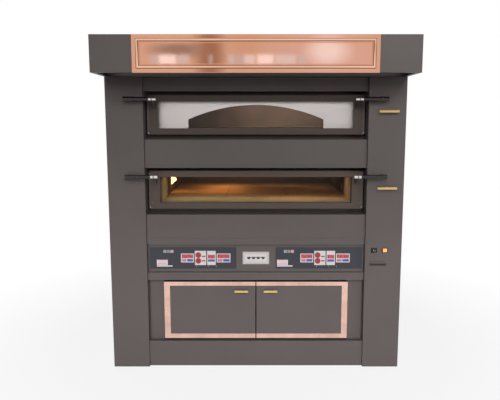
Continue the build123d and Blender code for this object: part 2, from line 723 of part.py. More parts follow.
def make_keys():
    """Each key is a fluted cap on a foot behind the fascia, wider than the opening for the cap."""
    front = MODULE_DEPTH - KEY_PROUD
    back = FASCIA_DEPTH + SHEET + SEAT
    reach = KEY_RADIUS + KEY_PLAY + KEY_FOOT_BEARING
    rise = KEY_PITCH / 2 - KEY_PLAY
    for name, (x, z) in key_centres().items():
        foot = block(x - reach, x + reach, back, back + KEY_FOOT, z - rise, z + rise)
        save(name, key_prism(x, z, KEY_RADIUS, front, back) + foot)


def make_control_box():
    half = BAY - BOX_SIDE_SPACE
    d0, d1 = FASCIA_DEPTH + SHEET, FASCIA_DEPTH + SHEET + BOX_DEPTH
    z0, z1 = FASCIA_MIDDLE - BOX_HEIGHT / 2, FASCIA_MIDDLE + BOX_HEIGHT / 2
    s = SHEET
    box = block(-half, half, d0, d1, z0, z1) - block(-half + s, half - s, d0 - s, d1 - s, z0 + s, z1 - s)
    save("control_box", box)


def switch_housing(x):
    """Bezel in front of the pilaster and a body through its cut-out, hollow for the rocker."""
    w, h = BEZEL_WIDTH / 2, BEZEL_HEIGHT / 2
    bezel = block(x - w, x + w, -BEZEL_PROUD, 0, SWITCH_Z - h, SWITCH_Z + h)
    bezel = chamfer(bezel.faces().sort_by(Axis.Y)[0].edges(), BEZEL_PROUD / 2)
    w, h = SWITCH_WIDTH / 2, SWITCH_HEIGHT / 2
    body = block(x - w, x + w, 0, SWITCH_DEPTH, SWITCH_Z - h, SWITCH_Z + h)
    w, h = w - SWITCH_WALL, h - SWITCH_WALL
    d0, d1 = -BEZEL_PROUD - PAST, SWITCH_DEPTH / 2
    return bezel + body - block(x - w, x + w, d0, d1, SWITCH_Z - h, SWITCH_Z + h)


def rocker(x):
    """Rocker with a hollowed face, its keel round about the upright pivot, tipped to one side."""
    w = ROCKER_HALF_WIDTH
    h = SWITCH_HEIGHT / 2 - SWITCH_WALL - ROCKER_PLAY
    rim = -ROCKER_PROUD
    heel = (w - ROCKER_TAPER, ROCKER_HEEL)
    reach = ROCKER_KEEL_REACH
    keel = PolarLocations(ROCKER_KEEL_RADIUS, 3, 90 - reach, 2 * reach, endpoint=True)
    right, tip, left = [(place.position.X, ROCKER_PIVOT_DEPTH + place.position.Y) for place in keel]
    face = ThreePointArc((-w, rim), (0, rim + ROCKER_HOLLOW), (w, rim))
    sides = [Polyline((w, rim), heel, right), Polyline(left, (-heel[0], heel[1]), (-w, rim))]
    section = make_face([face, ThreePointArc(right, tip, left), *sides])
    pivot = Pos(0, ROCKER_PIVOT_DEPTH)
    tipped = pivot * Rot(0, 0, ROCKER_TILT) * Pos(0, -ROCKER_PIVOT_DEPTH) * section
    return upright(Pos(x, 0) * tipped, SWITCH_Z - h, SWITCH_Z + h)


def make_switches():
    save("switch_housings", switch_housing(MAIN_SWITCH_X), switch_housing(LAMP_SWITCH_X))
    save("main_switch_rocker", rocker(MAIN_SWITCH_X))
    save("lamp_switch_rocker", rocker(LAMP_SWITCH_X))


# Cabinet

def make_cabinet_front():
    section = fold(
        (RETURN_DEPTH, FASCIA_Z), (PANEL_DEPTH, FASCIA_Z), (PANEL_DEPTH, CABINET_RAIL_Z),
        (RETURN_DEPTH, CABINET_RAIL_Z), side=Side.LEFT,
    )
    front = across(section, -PANEL_HALF, PANEL_HALF)
    plan = fold((PANEL_HALF, STILE_DEPTH), (STILE_INNER_X, STILE_DEPTH), (STILE_INNER_X, RETURN_DEPTH))
    for stile in both_sides(upright(plan, PLINTH_HEIGHT, CABINET_RAIL_Z + SHEET)):
        front += stile
    save("cabinet_front_frame", front)


def make_liner():
    w, s = LINER_HALF_WIDTH, SHEET
    z0, z1 = PLINTH_HEIGHT, FASCIA_Z - TUBE
    liner = block(-w, w, RETURN_DEPTH, LINER_BACK, z0, z1)
    liner -= block(-w + s, w - s, RETURN_DEPTH - s, LINER_BACK - s, z0 + s, z1 - s)
    save("cabinet_liner", liner)


def cabinet_door():
    """Right-hand door: a tray of sheet, open at the back, bored for its pivot pins."""
    x0, x1 = DOOR_SEAM / 2, CABINET_DOOR_OUTER
    d0, d1 = CABINET_DOOR_DEPTH, CABINET_DOOR_DEPTH + CABINET_DOOR_THICKNESS
    s = SHEET
    door = block(x0, x1, d0, d1, CABINET_Z0, CABINET_Z1)
    door -= block(x0 + s, x1 - s, d0 + s, d1 + s, CABINET_Z0 + s, CABINET_Z1 - s)
    hole = CABINET_PIN_RADIUS + PIN_PLAY
    return door - rod_z(CABINET_PIVOT_X, CABINET_PIVOT_DEPTH, CABINET_Z0 - s, CABINET_Z1 + s, hole)


def cabinet_trim():
    """Copper strip over the top, outer side and bottom of the right-hand door."""
    x0, x1 = DOOR_SEAM / 2, CABINET_DOOR_OUTER
    z0, z1 = CABINET_Z0, CABINET_Z1
    inner = x1 - TRIM_SIDE
    points = Polyline(
        (x0, z0), (x1, z0), (x1, z1), (x0, z1), (x0, z1 - TRIM_TOP), (inner, z1 - TRIM_TOP),
        (inner, z0 + TRIM_BOTTOM), (x0, z0 + TRIM_BOTTOM), close=True,
    )
    return facing(make_face(points), CABINET_DOOR_DEPTH - TRIM_THICKNESS, CABINET_DOOR_DEPTH)


def cabinet_handle():
    face = CABINET_DOOR_DEPTH
    d0 = face - HANDLE_STAND - HANDLE_THICKNESS
    x0, x1 = HANDLE_X - HANDLE_LENGTH / 2, HANDLE_X + HANDLE_LENGTH / 2
    half = HANDLE_HEIGHT / 2
    bar = block(x0, x1, d0, d0 + HANDLE_THICKNESS, HANDLE_Z - half, HANDLE_Z + half)
    bar = chamfer(bar.edges().filter_by(Axis.X), HANDLE_BEVEL)
    post = HANDLE_POST / 2
    for place in GridLocations(HANDLE_POST_SPACING, 1, 2, 1):
        x = HANDLE_X + place.position.X
        bar += block(x - post, x + post, d0 + HANDLE_THICKNESS / 2, face, HANDLE_Z - post, HANDLE_Z + post)
    return bar


def make_cabinet_doors():
    shapes = {"door": cabinet_door(), "trim": cabinet_trim(), "handle": cabinet_handle()}
    for name, shape in shapes.items():
        save(f"right_cabinet_{name}", shape)
        save(f"left_cabinet_{name}", other_side(shape))


def cabinet_pins():
    """Pins with six-sided shoulders, from the rail above and the plinth below into the door's edges."""
    x, d = CABINET_PIVOT_X, CABINET_PIVOT_DEPTH
    shoulder, pin, reach = RegularPolygon(CABINET_BOSS_RADIUS, 6), CABINET_PIN_RADIUS, CABINET_PIN_REACH
    z0, z1 = PLINTH_HEIGHT, CABINET_RAIL_Z
    top, bottom = CABINET_Z1 + SEAT, CABINET_Z0 - SEAT
    upper = upright(Pos(x, d) * shoulder, top, z1) + rod_z(x, d, CABINET_Z1 - reach, top, pin)
    lower = upright(Pos(x, d) * shoulder, z0, bottom) + rod_z(x, d, bottom, CABINET_Z0 + reach, pin)
    return both_sides(upper) + both_sides(lower)


# Baking decks

def make_chamber(name, deck_z):
    """Lining welded from sheets: mouth flange, throat, wider chamber behind it, runners for the hearth."""
    s = SHEET
    w, side = WINDOW_WIDTH / 2, CHAMBER_HALF
    sill = deck_z + SILL_ABOVE_RECESS
    lintel = sill + WINDOW_HEIGHT
    floor = sill - SILL_DROP
    ceiling = lintel + CHAMBER_HEADROOM
    mouth = FLANGE_DEPTH + s
    front, back = CHAMBER_FRONT, CHAMBER_BACK
    rim = POST_X - SEAT
    low, high = deck_z + SEAT, deck_z + DECK_RECESS_HEIGHT - SEAT
    way = block(-w, w, FLANGE_DEPTH - PAST, front + s + PAST, sill, lintel)
    flange = block(-rim, rim, FLANGE_DEPTH, mouth, low, high) - way
    rod_hole = ROD_RADIUS + ROD_PLAY
    flange -= rod_y(DUCT_X, FLANGE_DEPTH - PAST, mouth + PAST, deck_z + PULL_ABOVE_RECESS, rod_hole)
    front_wall = block(-side - s, side + s, front, front + s, floor - s, ceiling + s) - way
    throat = [block(-w - s, w + s, mouth, front, z, z + s) for z in (sill - s, lintel)]
    throat += both_sides(block(w, w + s, mouth, front, sill, lintel))
    walls = [block(-side - s, side + s, front + s, back + s, z, z + s) for z in (floor - s, ceiling)]
    walls.append(block(-side - s, side + s, back, back + s, floor, ceiling))
    right = block(side, side + s, front + s, back, floor, ceiling)
    walls.append(other_side(right))
    r = BRANCH / 2 - DUCT_WALL
    z = deck_z + BRANCH_ABOVE_RECESS
    d = DUCT_DEPTHS[name]
    walls.append(right - block(side - PAST, side + s + PAST, d - r, d + r, z - r, z + r))
    save(f"{name}_chamber", flange, front_wall, *throat, *walls, *hearth_runners(floor, sill))


def hearth_runners(floor, sill):
    """Runners under the tile joints: a T bar under each inner joint, an angle along each side wall."""
    top = sill - TILE_BELOW_SILL - TILE_THICKNESS
    d0, d1 = CHAMBER_FRONT + SHEET, CHAMBER_BACK
    reach, s = LEDGE_WIDTH / 2, SHEET
    runners = []
    for i in range(1, TILE_COLUMNS):
        x = -CHAMBER_HALF + TILE_GAP / 2 + i * (tile_width() + TILE_GAP)
        flat = block(x - reach, x + reach, d0, d1, top - s, top)
        runners.append(flat + block(x - s / 2, x + s / 2, d0, d1, floor, top))
    edge = CHAMBER_HALF
    angle = block(edge - reach, edge, d0, d1, top - s, top) + block(edge - s, edge, d0, d1, floor, top)
    return runners + both_sides(angle)


def tile_width():
    return (2 * CHAMBER_HALF - (TILE_COLUMNS + 1) * TILE_GAP) / TILE_COLUMNS


def make_hearth():
    """Rows of firebrick tiles behind the throat of each deck, a little below its sill."""
    width = tile_width()
    d0 = CHAMBER_FRONT + SHEET
    length = (CHAMBER_BACK - d0 - (TILE_ROWS + 1) * TILE_GAP) / TILE_ROWS
    tiles = []
    for deck_z in DECKS.values():
        top = deck_z + SILL_ABOVE_RECESS - TILE_BELOW_SILL
        for i in range(TILE_COLUMNS):
            x0 = -CHAMBER_HALF + TILE_GAP + i * (width + TILE_GAP)
            for j in range(TILE_ROWS):
                d = d0 + TILE_GAP + j * (length + TILE_GAP)
                tiles.append(block(x0, x0 + width, d, d + length, top - TILE_THICKNESS, top))
    save("hearth_tiles", *tiles)


def make_elements():
    """Straight heating rods under the ceiling and under the hearth of each deck."""
    rods = []
    d0, d1 = CHAMBER_FRONT + SHEET + SEAT, CHAMBER_BACK - SEAT
    pitch = 2 * CHAMBER_HALF / ELEMENT_COUNT
    for deck_z in DECKS.values():
        sill = deck_z + SILL_ABOVE_RECESS
        low = sill - SILL_DROP + ELEMENT_CLEARANCE
        high = sill + WINDOW_HEIGHT + CHAMBER_HEADROOM - ELEMENT_CLEARANCE
        for place in GridLocations(pitch, 1, ELEMENT_COUNT, 1):
            for z in (low, high):
                outline = Pos(place.position.X, z) * RegularPolygon(ELEMENT_RADIUS, ELEMENT_SIDES)
                rods.append(facing(outline, d0, d1))
    save("heating_elements", *rods)


def make_arch_plate():
    """Bright plate over the upper mouth, with a low arch in it."""
    sill = UPPER_DECK_Z + SILL_ABOVE_RECESS
    w = WINDOW_WIDTH / 2 + ARCH_OVERLAP
    top = sill + WINDOW_HEIGHT + ARCH_OVERLAP
    a = ARCH_WIDTH / 2
    spring = sill + ARCH_SPRING
    crown = ThreePointArc((a, spring), (0, spring + ARCH_RISE), (-a, spring))
    legs = Polyline(
        (-a, spring), (-a, sill), (-w, sill), (-w, top), (w, top), (w, sill), (a, sill), (a, spring),
    )
    save("upper_arch_plate", facing(make_face([crown, legs]), FLANGE_DEPTH - SHEET, FLANGE_DEPTH))


def make_insulation():
    """Blanket round each chamber: floor, roof, two sides and back."""
    slabs = []
    s = SHEET
    side = CHAMBER_HALF + s
    wide = side + INSULATION_SIDE
    d0, d1 = RETURN_DEPTH + TUBE + SEAT, CHAMBER_BACK + s + INSULATION_BACK
    behind_throat = CHAMBER_FRONT
    for name, deck_z in DECKS.items():
        sill = deck_z + SILL_ABOVE_RECESS
        floor = sill - SILL_DROP - s
        ceiling = sill + WINDOW_HEIGHT + CHAMBER_HEADROOM + s
        tray = deck_z - TRAY_DROP + s
        slabs.append(block(-wide, wide, d0, d1, tray, floor))
        slabs.append(block(-wide, wide, behind_throat, d1, ceiling, ceiling + INSULATION_TOP))
        slabs.append(block(-side, side, CHAMBER_BACK + s, d1, floor, ceiling))
        slabs.append(block(-wide, -side, behind_throat, d1, floor, ceiling))
        r = BRANCH / 2 + SEAT
        z = deck_z + BRANCH_ABOVE_RECESS
        d = DUCT_DEPTHS[name]
        right = block(side, wide, behind_throat, d1, floor, ceiling)
        slabs.append(right - block(side - PAST, wide + PAST, d - r, d + r, z - r, z + r))
    save("insulation", *slabs)


def make_lamps():
    """Square lamp glass with bevelled edges on the left wall of each chamber."""
    r = LAMP_SIZE / 2
    x = -CHAMBER_HALF
    lamps = []
    for deck_z in DECKS.values():
        z = deck_z + SILL_ABOVE_RECESS + LAMP_ABOVE_SILL
        lamp = block(x, x + LAMP_PROUD, LAMP_DEPTH - r, LAMP_DEPTH + r, z - r, z + r)
        lamps.append(chamfer(lamp.faces().sort_by(Axis.X)[-1].edges(), LAMP_BEVEL))
    save("chamber_lamps", *lamps)


# Oven doors

def make_door(name, deck_z):
    """Hollow door frame round the window, with air slots in its lower edge, and its glass."""
    t = DOOR_SHELL
    z0 = deck_z + DOOR_GAP_BELOW
    z1 = z0 + DOOR_HEIGHT
    d0, d1 = DOOR_DEPTH, DOOR_DEPTH + DOOR_THICKNESS
    x = DOOR_WIDTH / 2
    low = z0 + DOOR_RAIL_BELOW
    high = low + WINDOW_HEIGHT
    w = WINDOW_WIDTH / 2
    glass_front = d0 + GLASS_SETBACK
    g = GLASS_REBATE
    frame = block(-x, x, d0, d1, z0, z1)
    frame = fillet(frame.faces().sort_by(Axis.Y)[0].edges(), BEND)
    hollow = block(-x + t, x - t, d0 + t, d1 - t, z0 + t, z1 - t)
    hollow -= block(-w - t, w + t, d0, d1, low - t, high + t)
    hollow -= block(-w - g - t, w + g + t, glass_front - t, d1, low - g - t, high + g + t)
    frame -= hollow
    frame -= block(-w, w, d0 - PAST, d1 + PAST, low, high)
    frame -= block(-w - g, w + g, glass_front, d1 + PAST, low - g, high + g)
    middle = (d0 + d1) / 2
    for place in GridLocations(x, 1, 2, 1):
        a, b = place.position.X - VENT_LENGTH / 2, place.position.X + VENT_LENGTH / 2
        frame -= block(a, b, middle - VENT_WIDTH / 2, middle + VENT_WIDTH / 2, z0 - PAST, z0 + t + PAST)
    save(f"{name}_door_frame", frame)
    g -= GLASS_PLAY
    glass = block(-w - g, w + g, glass_front, glass_front + GLASS_THICKNESS, low - g, high + g)
    save(f"{name}_door_glass", glass)


def door_arm(deck_z):
    """Side bar on the right edge of the door, round about the hinge pin that it is bored for."""
    x0 = DOOR_WIDTH / 2
    low = deck_z + DOOR_GAP_BELOW + PIVOT_ABOVE_DOOR
    high = deck_z + DOOR_GAP_BELOW + DOOR_HEIGHT - ARM_BELOW_TOP
    bar = Pos(PIVOT_DEPTH, (low + high) / 2) * Rectangle(ARM_WIDTH, high - low)
    arm = across(bar + Pos(PIVOT_DEPTH, low) * Circle(ARM_WIDTH / 2), x0, x0 + ARM_THICKNESS)
    return arm - rod_x(x0 - PAST, x0 + ARM_THICKNESS + PAST, PIVOT_DEPTH, low, PIN_RADIUS + PIN_PLAY)


def handle_bracket(deck_z):
    """Thin bracket from the face of the door forward to the eye that holds the grip."""
    z0 = deck_z + DOOR_GAP_BELOW
    eye_z = z0 + GRIP_ABOVE_DOOR
    r = BRACKET_EYE_RADIUS
    points = Polyline(
        (DOOR_DEPTH, z0 + BRACKET_FOOT_LOW), (DOOR_DEPTH, z0 + BRACKET_FOOT_HIGH),
        (GRIP_DEPTH, eye_z + r), (GRIP_DEPTH, eye_z - r), close=True,
    )
    outline = make_face(points) + Pos(GRIP_DEPTH, eye_z) * Circle(r)
    return across(outline, BRACKET_X, BRACKET_X + BRACKET_THICKNESS)


def make_door_fittings(name, deck_z):
    save(f"{name}_door_arms", *both_sides(door_arm(deck_z)), *both_sides(handle_bracket(deck_z)))
    z = deck_z + DOOR_GAP_BELOW + GRIP_ABOVE_DOOR
    outer = BRACKET_X + BRACKET_THICKNESS
    grip_x = outer + OUTER_COLLAR
    shoulder, tip = GRIP_LENGTH - GRIP_BEVEL, GRIP_RADIUS - GRIP_BEVEL
    sections = [(0, GRIP_NECK_RADIUS), (shoulder, GRIP_RADIUS), (GRIP_LENGTH, tip)]
    grip = loft([Pos(0, 0, along) * RegularPolygon(r, GRIP_SIDES) for along, r in sections], ruled=True)
    grip = Pos(grip_x, FRONT_Y + GRIP_DEPTH, z) * Rot(0, 90, 0) * grip
    save(f"{name}_door_grips", *both_sides(grip))
    collar = rod_x(outer, grip_x, GRIP_DEPTH, z, COLLAR_RADIUS)
    cap = rod_x(BRACKET_X - INNER_COLLAR, BRACKET_X, GRIP_DEPTH, z, COLLAR_RADIUS)
    save(f"{name}_door_collars", *both_sides(collar), *both_sides(cap))


def door_pin(deck_z):
    """Hinge bolt of the right side: its head on the pilaster's return and its pin into the arm."""
    z = deck_z + DOOR_GAP_BELOW + PIVOT_ABOVE_DOOR
    head_x = DOOR_WIDTH / 2 + ARM_THICKNESS + SEAT
    head = across(Pos(PIVOT_DEPTH, z) * RegularPolygon(PIN_BOSS_RADIUS, 6), head_x, BAY)
    return head + rod_x(DOOR_WIDTH / 2 + PAST, head_x, PIVOT_DEPTH, z, PIN_RADIUS)


def make_pins():
    pins = cabinet_pins()
    for deck_z in DECKS.values():
        pins += both_sides(door_pin(deck_z))
    save("hinge_pins", *pins)


# Steam ducts and dampers

def make_ducts():
    """Square duct from each chamber's right wall up to the roof, slotted for its damper."""
    ducts = []
    r, q = DUCT / 2, BRANCH / 2
    t = DUCT_WALL
    for name, deck_z in DECKS.items():
        d = DUCT_DEPTHS[name]
        z = deck_z + BRANCH_ABOVE_RECESS
        wall = CHAMBER_HALF + SHEET
        x0, x1 = DUCT_X - r, DUCT_X + r
        z0 = z - q - t
        duct = block(x0, x1, d - r, d + r, z0, ROOF_Z) + block(wall, x0 + t, d - q, d + q, z - q, z + q)
        duct -= block(x0 + t, x1 - t, d - r + t, d + r - t, z0 + t, ROOF_Z + PAST)
        duct -= block(wall - PAST, x0 + t + PAST, d - q + t, d + q - t, z - q + t, z + q - t)
        gate_z = deck_z + PULL_ABOVE_RECESS
        h = GATE_THICKNESS / 2 + GATE_PLAY
        duct -= block(x0 + t, x1 - t, d - r - PAST, d - r + t + PAST, gate_z - h, gate_z + h)
        ducts.append(duct)
    save("steam_ducts", *ducts)


def make_damper(name, deck_z):
    """Slide gate with its rod, and the brass bar on the rod's front end."""
    z = deck_z + PULL_ABOVE_RECESS
    d = DUCT_DEPTHS[name]
    w = DUCT / 2 - DUCT_WALL - GATE_PLAY
    h = GATE_THICKNESS / 2
    tongue_front = d - DUCT / 2 - GATE_TONGUE_LENGTH
    gate = block(DUCT_X - w, DUCT_X + w, d - w, d + w, z - h, z + h)
    gate += block(DUCT_X - GATE_TONGUE / 2, DUCT_X + GATE_TONGUE / 2, tongue_front, d, z - h, z + h)
    gate += rod_y(DUCT_X, -PULL_NECK_GAP, tongue_front + GATE_TONGUE / 2, z, ROD_RADIUS)
    save(f"{name}_damper_gate", gate)
    d0 = -PULL_STAND - PULL_THICKNESS
    half = PULL_LENGTH / 2
    q = PULL_HEIGHT / 2
    bar = block(DUCT_X - half, DUCT_X + half, d0, -PULL_STAND, z - q, z + q)
    bar = chamfer(bar.edges().filter_by(Axis.X), PULL_BEVEL)
    bar += rod_y(DUCT_X, d0 + PULL_THICKNESS / 2, -PULL_NECK_GAP, z, PULL_NECK_RADIUS)
    save(f"{name}_damper_pull", bar)


def make_gland():
    """Cable gland in the back panel: a nut inside, a bored thread, and a body and cap nut outside."""
    outside, inside = BODY_DEPTH, BODY_DEPTH - SHEET
    d0, d1 = inside - GLAND_NUT, outside + GLAND_PROUD
    cap_front = outside + GLAND_PROUD / 2
    centre = Pos(GLAND_X, GLAND_HEIGHT)
    nut = centre * RegularPolygon(GLAND_RADIUS, 6)
    cap = centre * RegularPolygon(GLAND_CAP_RADIUS, 6)
    gland = rod_y(GLAND_X, inside - SEAT, outside + SEAT, GLAND_HEIGHT, GLAND_THREAD)
    gland += facing(nut, d0, inside - SEAT)
    gland += facing(nut, outside + SEAT, cap_front)
    gland += facing(cap, cap_front, d1)
    save("cable_gland", gland - rod_y(GLAND_X, d0 - PAST, d1 + PAST, GLAND_HEIGHT, GLAND_BORE))


def main():
    os.makedirs("parts", exist_ok=True)
    make_frame()
    make_feet()
    make_pilasters()
    make_side_panels()
    make_back_panel()
    make_roof()
    make_hood()
    make_copper_panel()
    make_filter()
    make_flue()
    make_front_panels()
    make_fascia()
    make_modules()
    make_keys()
    make_control_box()
    make_switches()
    make_cabinet_front()
    make_liner()
    make_cabinet_doors()
    for name, deck_z in DECKS.items():
        make_chamber(name, deck_z)
        make_door(name, deck_z)
        make_door_fittings(name, deck_z)
        make_damper(name, deck_z)
    make_hearth()
    make_elements()
    make_arch_plate()
    make_insulation()
    make_lamps()
    make_pins()
    make_ducts()
    make_gland()


main()
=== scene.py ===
import math

import bmesh
import bpy
from mathutils import Matrix, Vector


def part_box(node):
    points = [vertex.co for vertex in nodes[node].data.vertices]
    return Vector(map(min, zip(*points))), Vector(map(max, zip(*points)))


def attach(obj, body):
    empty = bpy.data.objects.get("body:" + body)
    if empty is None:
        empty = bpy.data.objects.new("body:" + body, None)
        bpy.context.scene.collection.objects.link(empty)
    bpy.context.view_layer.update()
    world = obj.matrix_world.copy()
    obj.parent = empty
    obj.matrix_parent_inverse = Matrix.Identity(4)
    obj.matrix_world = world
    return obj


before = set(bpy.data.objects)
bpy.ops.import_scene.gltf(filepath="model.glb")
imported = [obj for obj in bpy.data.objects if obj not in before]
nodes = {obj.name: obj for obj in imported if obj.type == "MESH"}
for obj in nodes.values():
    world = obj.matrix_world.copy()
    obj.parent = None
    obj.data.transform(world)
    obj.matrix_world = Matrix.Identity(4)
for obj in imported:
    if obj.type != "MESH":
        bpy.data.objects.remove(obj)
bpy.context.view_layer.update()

# Sizes, in metres; depths are measured back from the pilasters' front
FRONT_Y = -0.5755
ON_AXIS = 1e-7

# Camera
LENS_MM = 40.82
SENSOR_MM = 36.0
CAMERA_DISTANCE = 3.159
CAMERA_HEIGHT = 1.437
CAMERA_PITCH_DEG = 8.018
CAMERA_SHIFT = -0.0118

# Hood
HOOD_LOW = 1.672
HOOD_HIGH = 1.858
COPPER_HALF = 0.618
COPPER_D = -0.2715
BEAD_INSET = 0.027
BEAD_FOOT = 0.0080
BEAD_TOE = 0.0060
BEAD_STEP = 0.0008
BEAD_HALF = 0.0062
BEAD_RISE = 0.0057

# Display modules on the two membranes
FASCIA_MIDDLE = 0.650
MEMBRANE_D = 0.033
MODULE_D = 0.0315
WINDOW_FLOOR_D = MODULE_D + 0.0008
MODULE_FRAME = 0.004
LOW_MODULE = 0.052
TALL_MODULE = 0.084
MODULE_WIDTHS = (0.074, 0.065, 0.049, 0.079)
MODULE_SPACING = 0.006
GROUPS = (-0.432, 0.256)
INLAY_GAP = 0.0008
FIGURE_D = WINDOW_FLOOR_D - 0.0005
FIGURE_MARGIN = 0.004
READOUTS = ("250", "", "30", "280")
RED, BLUE, PINK, FIGURE = range(4)

# Labels of the left membrane, and how far the right one's lie from them
GREY, PALE, SILVER, ROSE = range(4)
BAND_X = -0.533
CARD_X = -0.572
CARD_FACE_D = MEMBRANE_D - 0.0005
TICKS = (-0.345, -0.275, -0.230)
LABEL_SHIFT = 0.694

# Centre plate
PLATE_D = 0.031
PLATE_HALF = (0.0765, 0.0365)
MARK_PITCH = 0.0275
MARK_HALF = 0.0122
MARK_FOOT_HALF = 0.0056
MARK_RISE = 0.0064
MARK_PROUD = 0.0003

# Rockers, by the middle of each
ROCKERS = {"main": 0.673, "lamp": 0.734}
ROCKER_D = 0.005
ROCKER_Z = 0.7025
ROCKER_TIP_DEG = 9

# Painted shadow under the louvre's lip, a dark strip and a paler halo round it, as (left, right, low,
# high)
LOUVRE_SHADOW = (0.654, 0.740, 0.6145, 0.6240)
LOUVRE_SHADOW_HALO = (0.646, 0.748, 0.6105, 0.6265)

# Copper strips of the cabinet doors
TRIM_D = 0.0285
TRIM_STRIP_X = 0.516
TRIM_ROWS_Z = (0.1825, 0.4975)
TRIM_RIVETS_X = (0.018, 0.130, 0.250, 0.370, 0.486)
TRIM_RIVETS_Z = (0.196, 0.255, 0.339, 0.423, 0.482)
RIVET_RADIUS = 0.0022
RIVET_RISE = 0.0011

# Decks, by the floor of each recess
DECKS = {"upper": 1.330, "lower": 0.906}
DOOR_D = 0.060
ARM_X = 0.6065
ARM_D = 0.062
ARM_PIVOT = 0.035
CORNER_SCREW_X = 0.594
CORNER_SCREW_Z = 0.062
GRIP_END_X = 0.7245
GRIP_D = -0.045
GRIP_HEIGHT = 0.221
SILL = 0.061
WINDOW_HEIGHT = 0.149
WINDOW_HALF = 0.548
FLANGE_BACK_D = 0.1056
CHAMBER_FRONT_D = 0.354
LAMP_X = -0.5485
LAMP_D = 0.600
LAMP_HEIGHT = 0.080
LENS_RADIUS = 0.017
LENS_RISE = 0.020

# Heads of rivets and screws, as (radius, height) over the head's own
DOME = [(0.0, 1.0), (0.35, 0.94), (0.65, 0.76), (0.87, 0.48), (1.0, 0.1), (1.0, 0.0)]
PAN_HEAD = [(0.0, 0.52), (0.30, 0.50), (0.36, 0.30), (0.42, 0.50), (0.80, 0.40), (1.0, 0.12),
            (1.0, -0.05)]
SCREW_RADIUS = 0.0045

# Strokes of a seven-segment figure, as (across, up, lies flat), and the strokes of each digit
SEGMENTS = {
    "top": (0.5, 1.0, True), "middle": (0.5, 0.5, True), "bottom": (0.5, 0.0, True),
    "left_high": (0.0, 0.75, False), "right_high": (1.0, 0.75, False),
    "left_low": (0.0, 0.25, False), "right_low": (1.0, 0.25, False),
}
DIGITS = {
    "0": ("top", "bottom", "left_high", "right_high", "left_low", "right_low"),
    "2": ("top", "middle", "bottom", "right_high", "left_low"),
    "3": ("top", "middle", "bottom", "right_high", "right_low"),
    "5": ("top", "middle", "bottom", "left_high", "right_low"),
    "8": tuple(SEGMENTS),
}

# Studio and the room that polished metal shows; panes are (middle, width, strength)
FLOOR_HALF = 30.0
ROOM_Y = -7.0
ROOM_HALF = 3.4
ROOM_HEIGHT = 3.4
DAYLIGHT = (0.82, 0.97, 1.16, 1)
WINDOW_PANES = [
    (-1.575, 0.128, 0.95), (-1.375, 0.263, 1.6), (-1.135, 0.183, 1.05), (-0.705, 0.056, 0.85),
    (-0.385, 0.096, 1.05), (-0.260, 0.128, 0.9), (-0.100, 0.167, 1.3), (0.145, 0.255, 1.6),
    (0.459, 0.327, 1.2), (0.723, 0.120, 1.0),
]


def at(x, d, z):
    """Point at a depth behind the pilasters' front."""
    return Vector((x, FRONT_Y + d, z))


def srgb(r, g, b):
    """Linear colour of three display levels from 0 to 255."""
    def linear(v):
        v /= 255.0
        return v / 12.92 if v <= 0.04045 else ((v + 0.055) / 1.055) ** 2.4
    return (linear(r), linear(g), linear(b), 1.0)


def scaled(color, k):
    """The same colour, lighter or darker."""
    return tuple(min(1.0, c * k) for c in color[:3]) + (color[3],)


# Materials

class Graph:
    """A material and short ways to add nodes to it."""

    def __init__(self, name):
        self.material = bpy.data.materials.new(name)
        self.material.use_nodes = True
        self.tree = self.material.node_tree
        self.shader = self.tree.nodes["Principled BSDF"]
        self.output = self.tree.nodes["Material Output"]
        self.place = self.add("ShaderNodeTexCoord").outputs["Object"]

    def add(self, kind, **values):
        """New node of a kind, with its settings."""
        node = self.tree.nodes.new(kind)
        for key, value in values.items():
            setattr(node, key, value)
        return node

    def link(self, a, b):
        self.tree.links.new(a, b)

    def stretch(self, x, y, z):
        """The object's own coordinates, scaled along each axis."""
        mapping = self.add("ShaderNodeMapping")
        mapping.inputs["Scale"].default_value = (x, y, z)
        self.link(self.place, mapping.inputs["Vector"])
        return mapping.outputs["Vector"]

    def noise(self, scale, detail=3.0, rough=0.55, vector=None):
        """Noise between about 0.3 and 0.7."""
        node = self.add("ShaderNodeTexNoise")
        node.inputs["Scale"].default_value = scale
        node.inputs["Detail"].default_value = detail
        node.inputs["Roughness"].default_value = rough
        self.link(vector or self.place, node.inputs["Vector"])
        return node.outputs["Fac"]

    def span(self, value, low, high, from_low=0.3, from_high=0.7):
        """Map a range of values, which for noise is the default one, onto low to high."""
        node = self.add("ShaderNodeMapRange")
        node.inputs["From Min"].default_value = from_low
        node.inputs["From Max"].default_value = from_high
        node.inputs["To Min"].default_value = low
        node.inputs["To Max"].default_value = high
        self.link(value, node.inputs["Value"])
        return node.outputs["Result"]

    def mix(self, fac, a, b):
        """Blend two colours, given as values or as sockets."""
        node = self.add("ShaderNodeMix", data_type="RGBA")
        colors = [socket for socket in node.inputs if socket.type == "RGBA"]
        for socket, value in zip(colors, (a, b)):
            if isinstance(value, tuple):
                socket.default_value = value
            else:
                self.link(value, socket)
        self.link(fac, node.inputs[0])
        return [socket for socket in node.outputs if socket.type == "RGBA"][0]

    def color(self, source):
        self.link(source, self.shader.inputs["Base Color"])

    def roughness(self, source):
        self.link(source, self.shader.inputs["Roughness"])

    def bump(self, height, distance):
        """Fine relief of a depth in metres."""
        node = self.add("ShaderNodeBump")
        node.inputs["Strength"].default_value = 1.0
        node.inputs["Distance"].default_value = distance
        self.link(height, node.inputs["Height"])
        self.link(node.outputs["Normal"], self.shader.inputs["Normal"])

    def set(self, **values):
        """Numbers that are the same all over the surface, straight on the shader's sockets."""
        names = {"metallic": "Metallic", "coat": "Coat Weight", "ior": "IOR",
                 "specular": "Specular IOR Level", "transmission": "Transmission Weight",
                 "glow": "Emission Strength"}
        for key, value in values.items():
            self.shader.inputs[names[key]].default_value = value


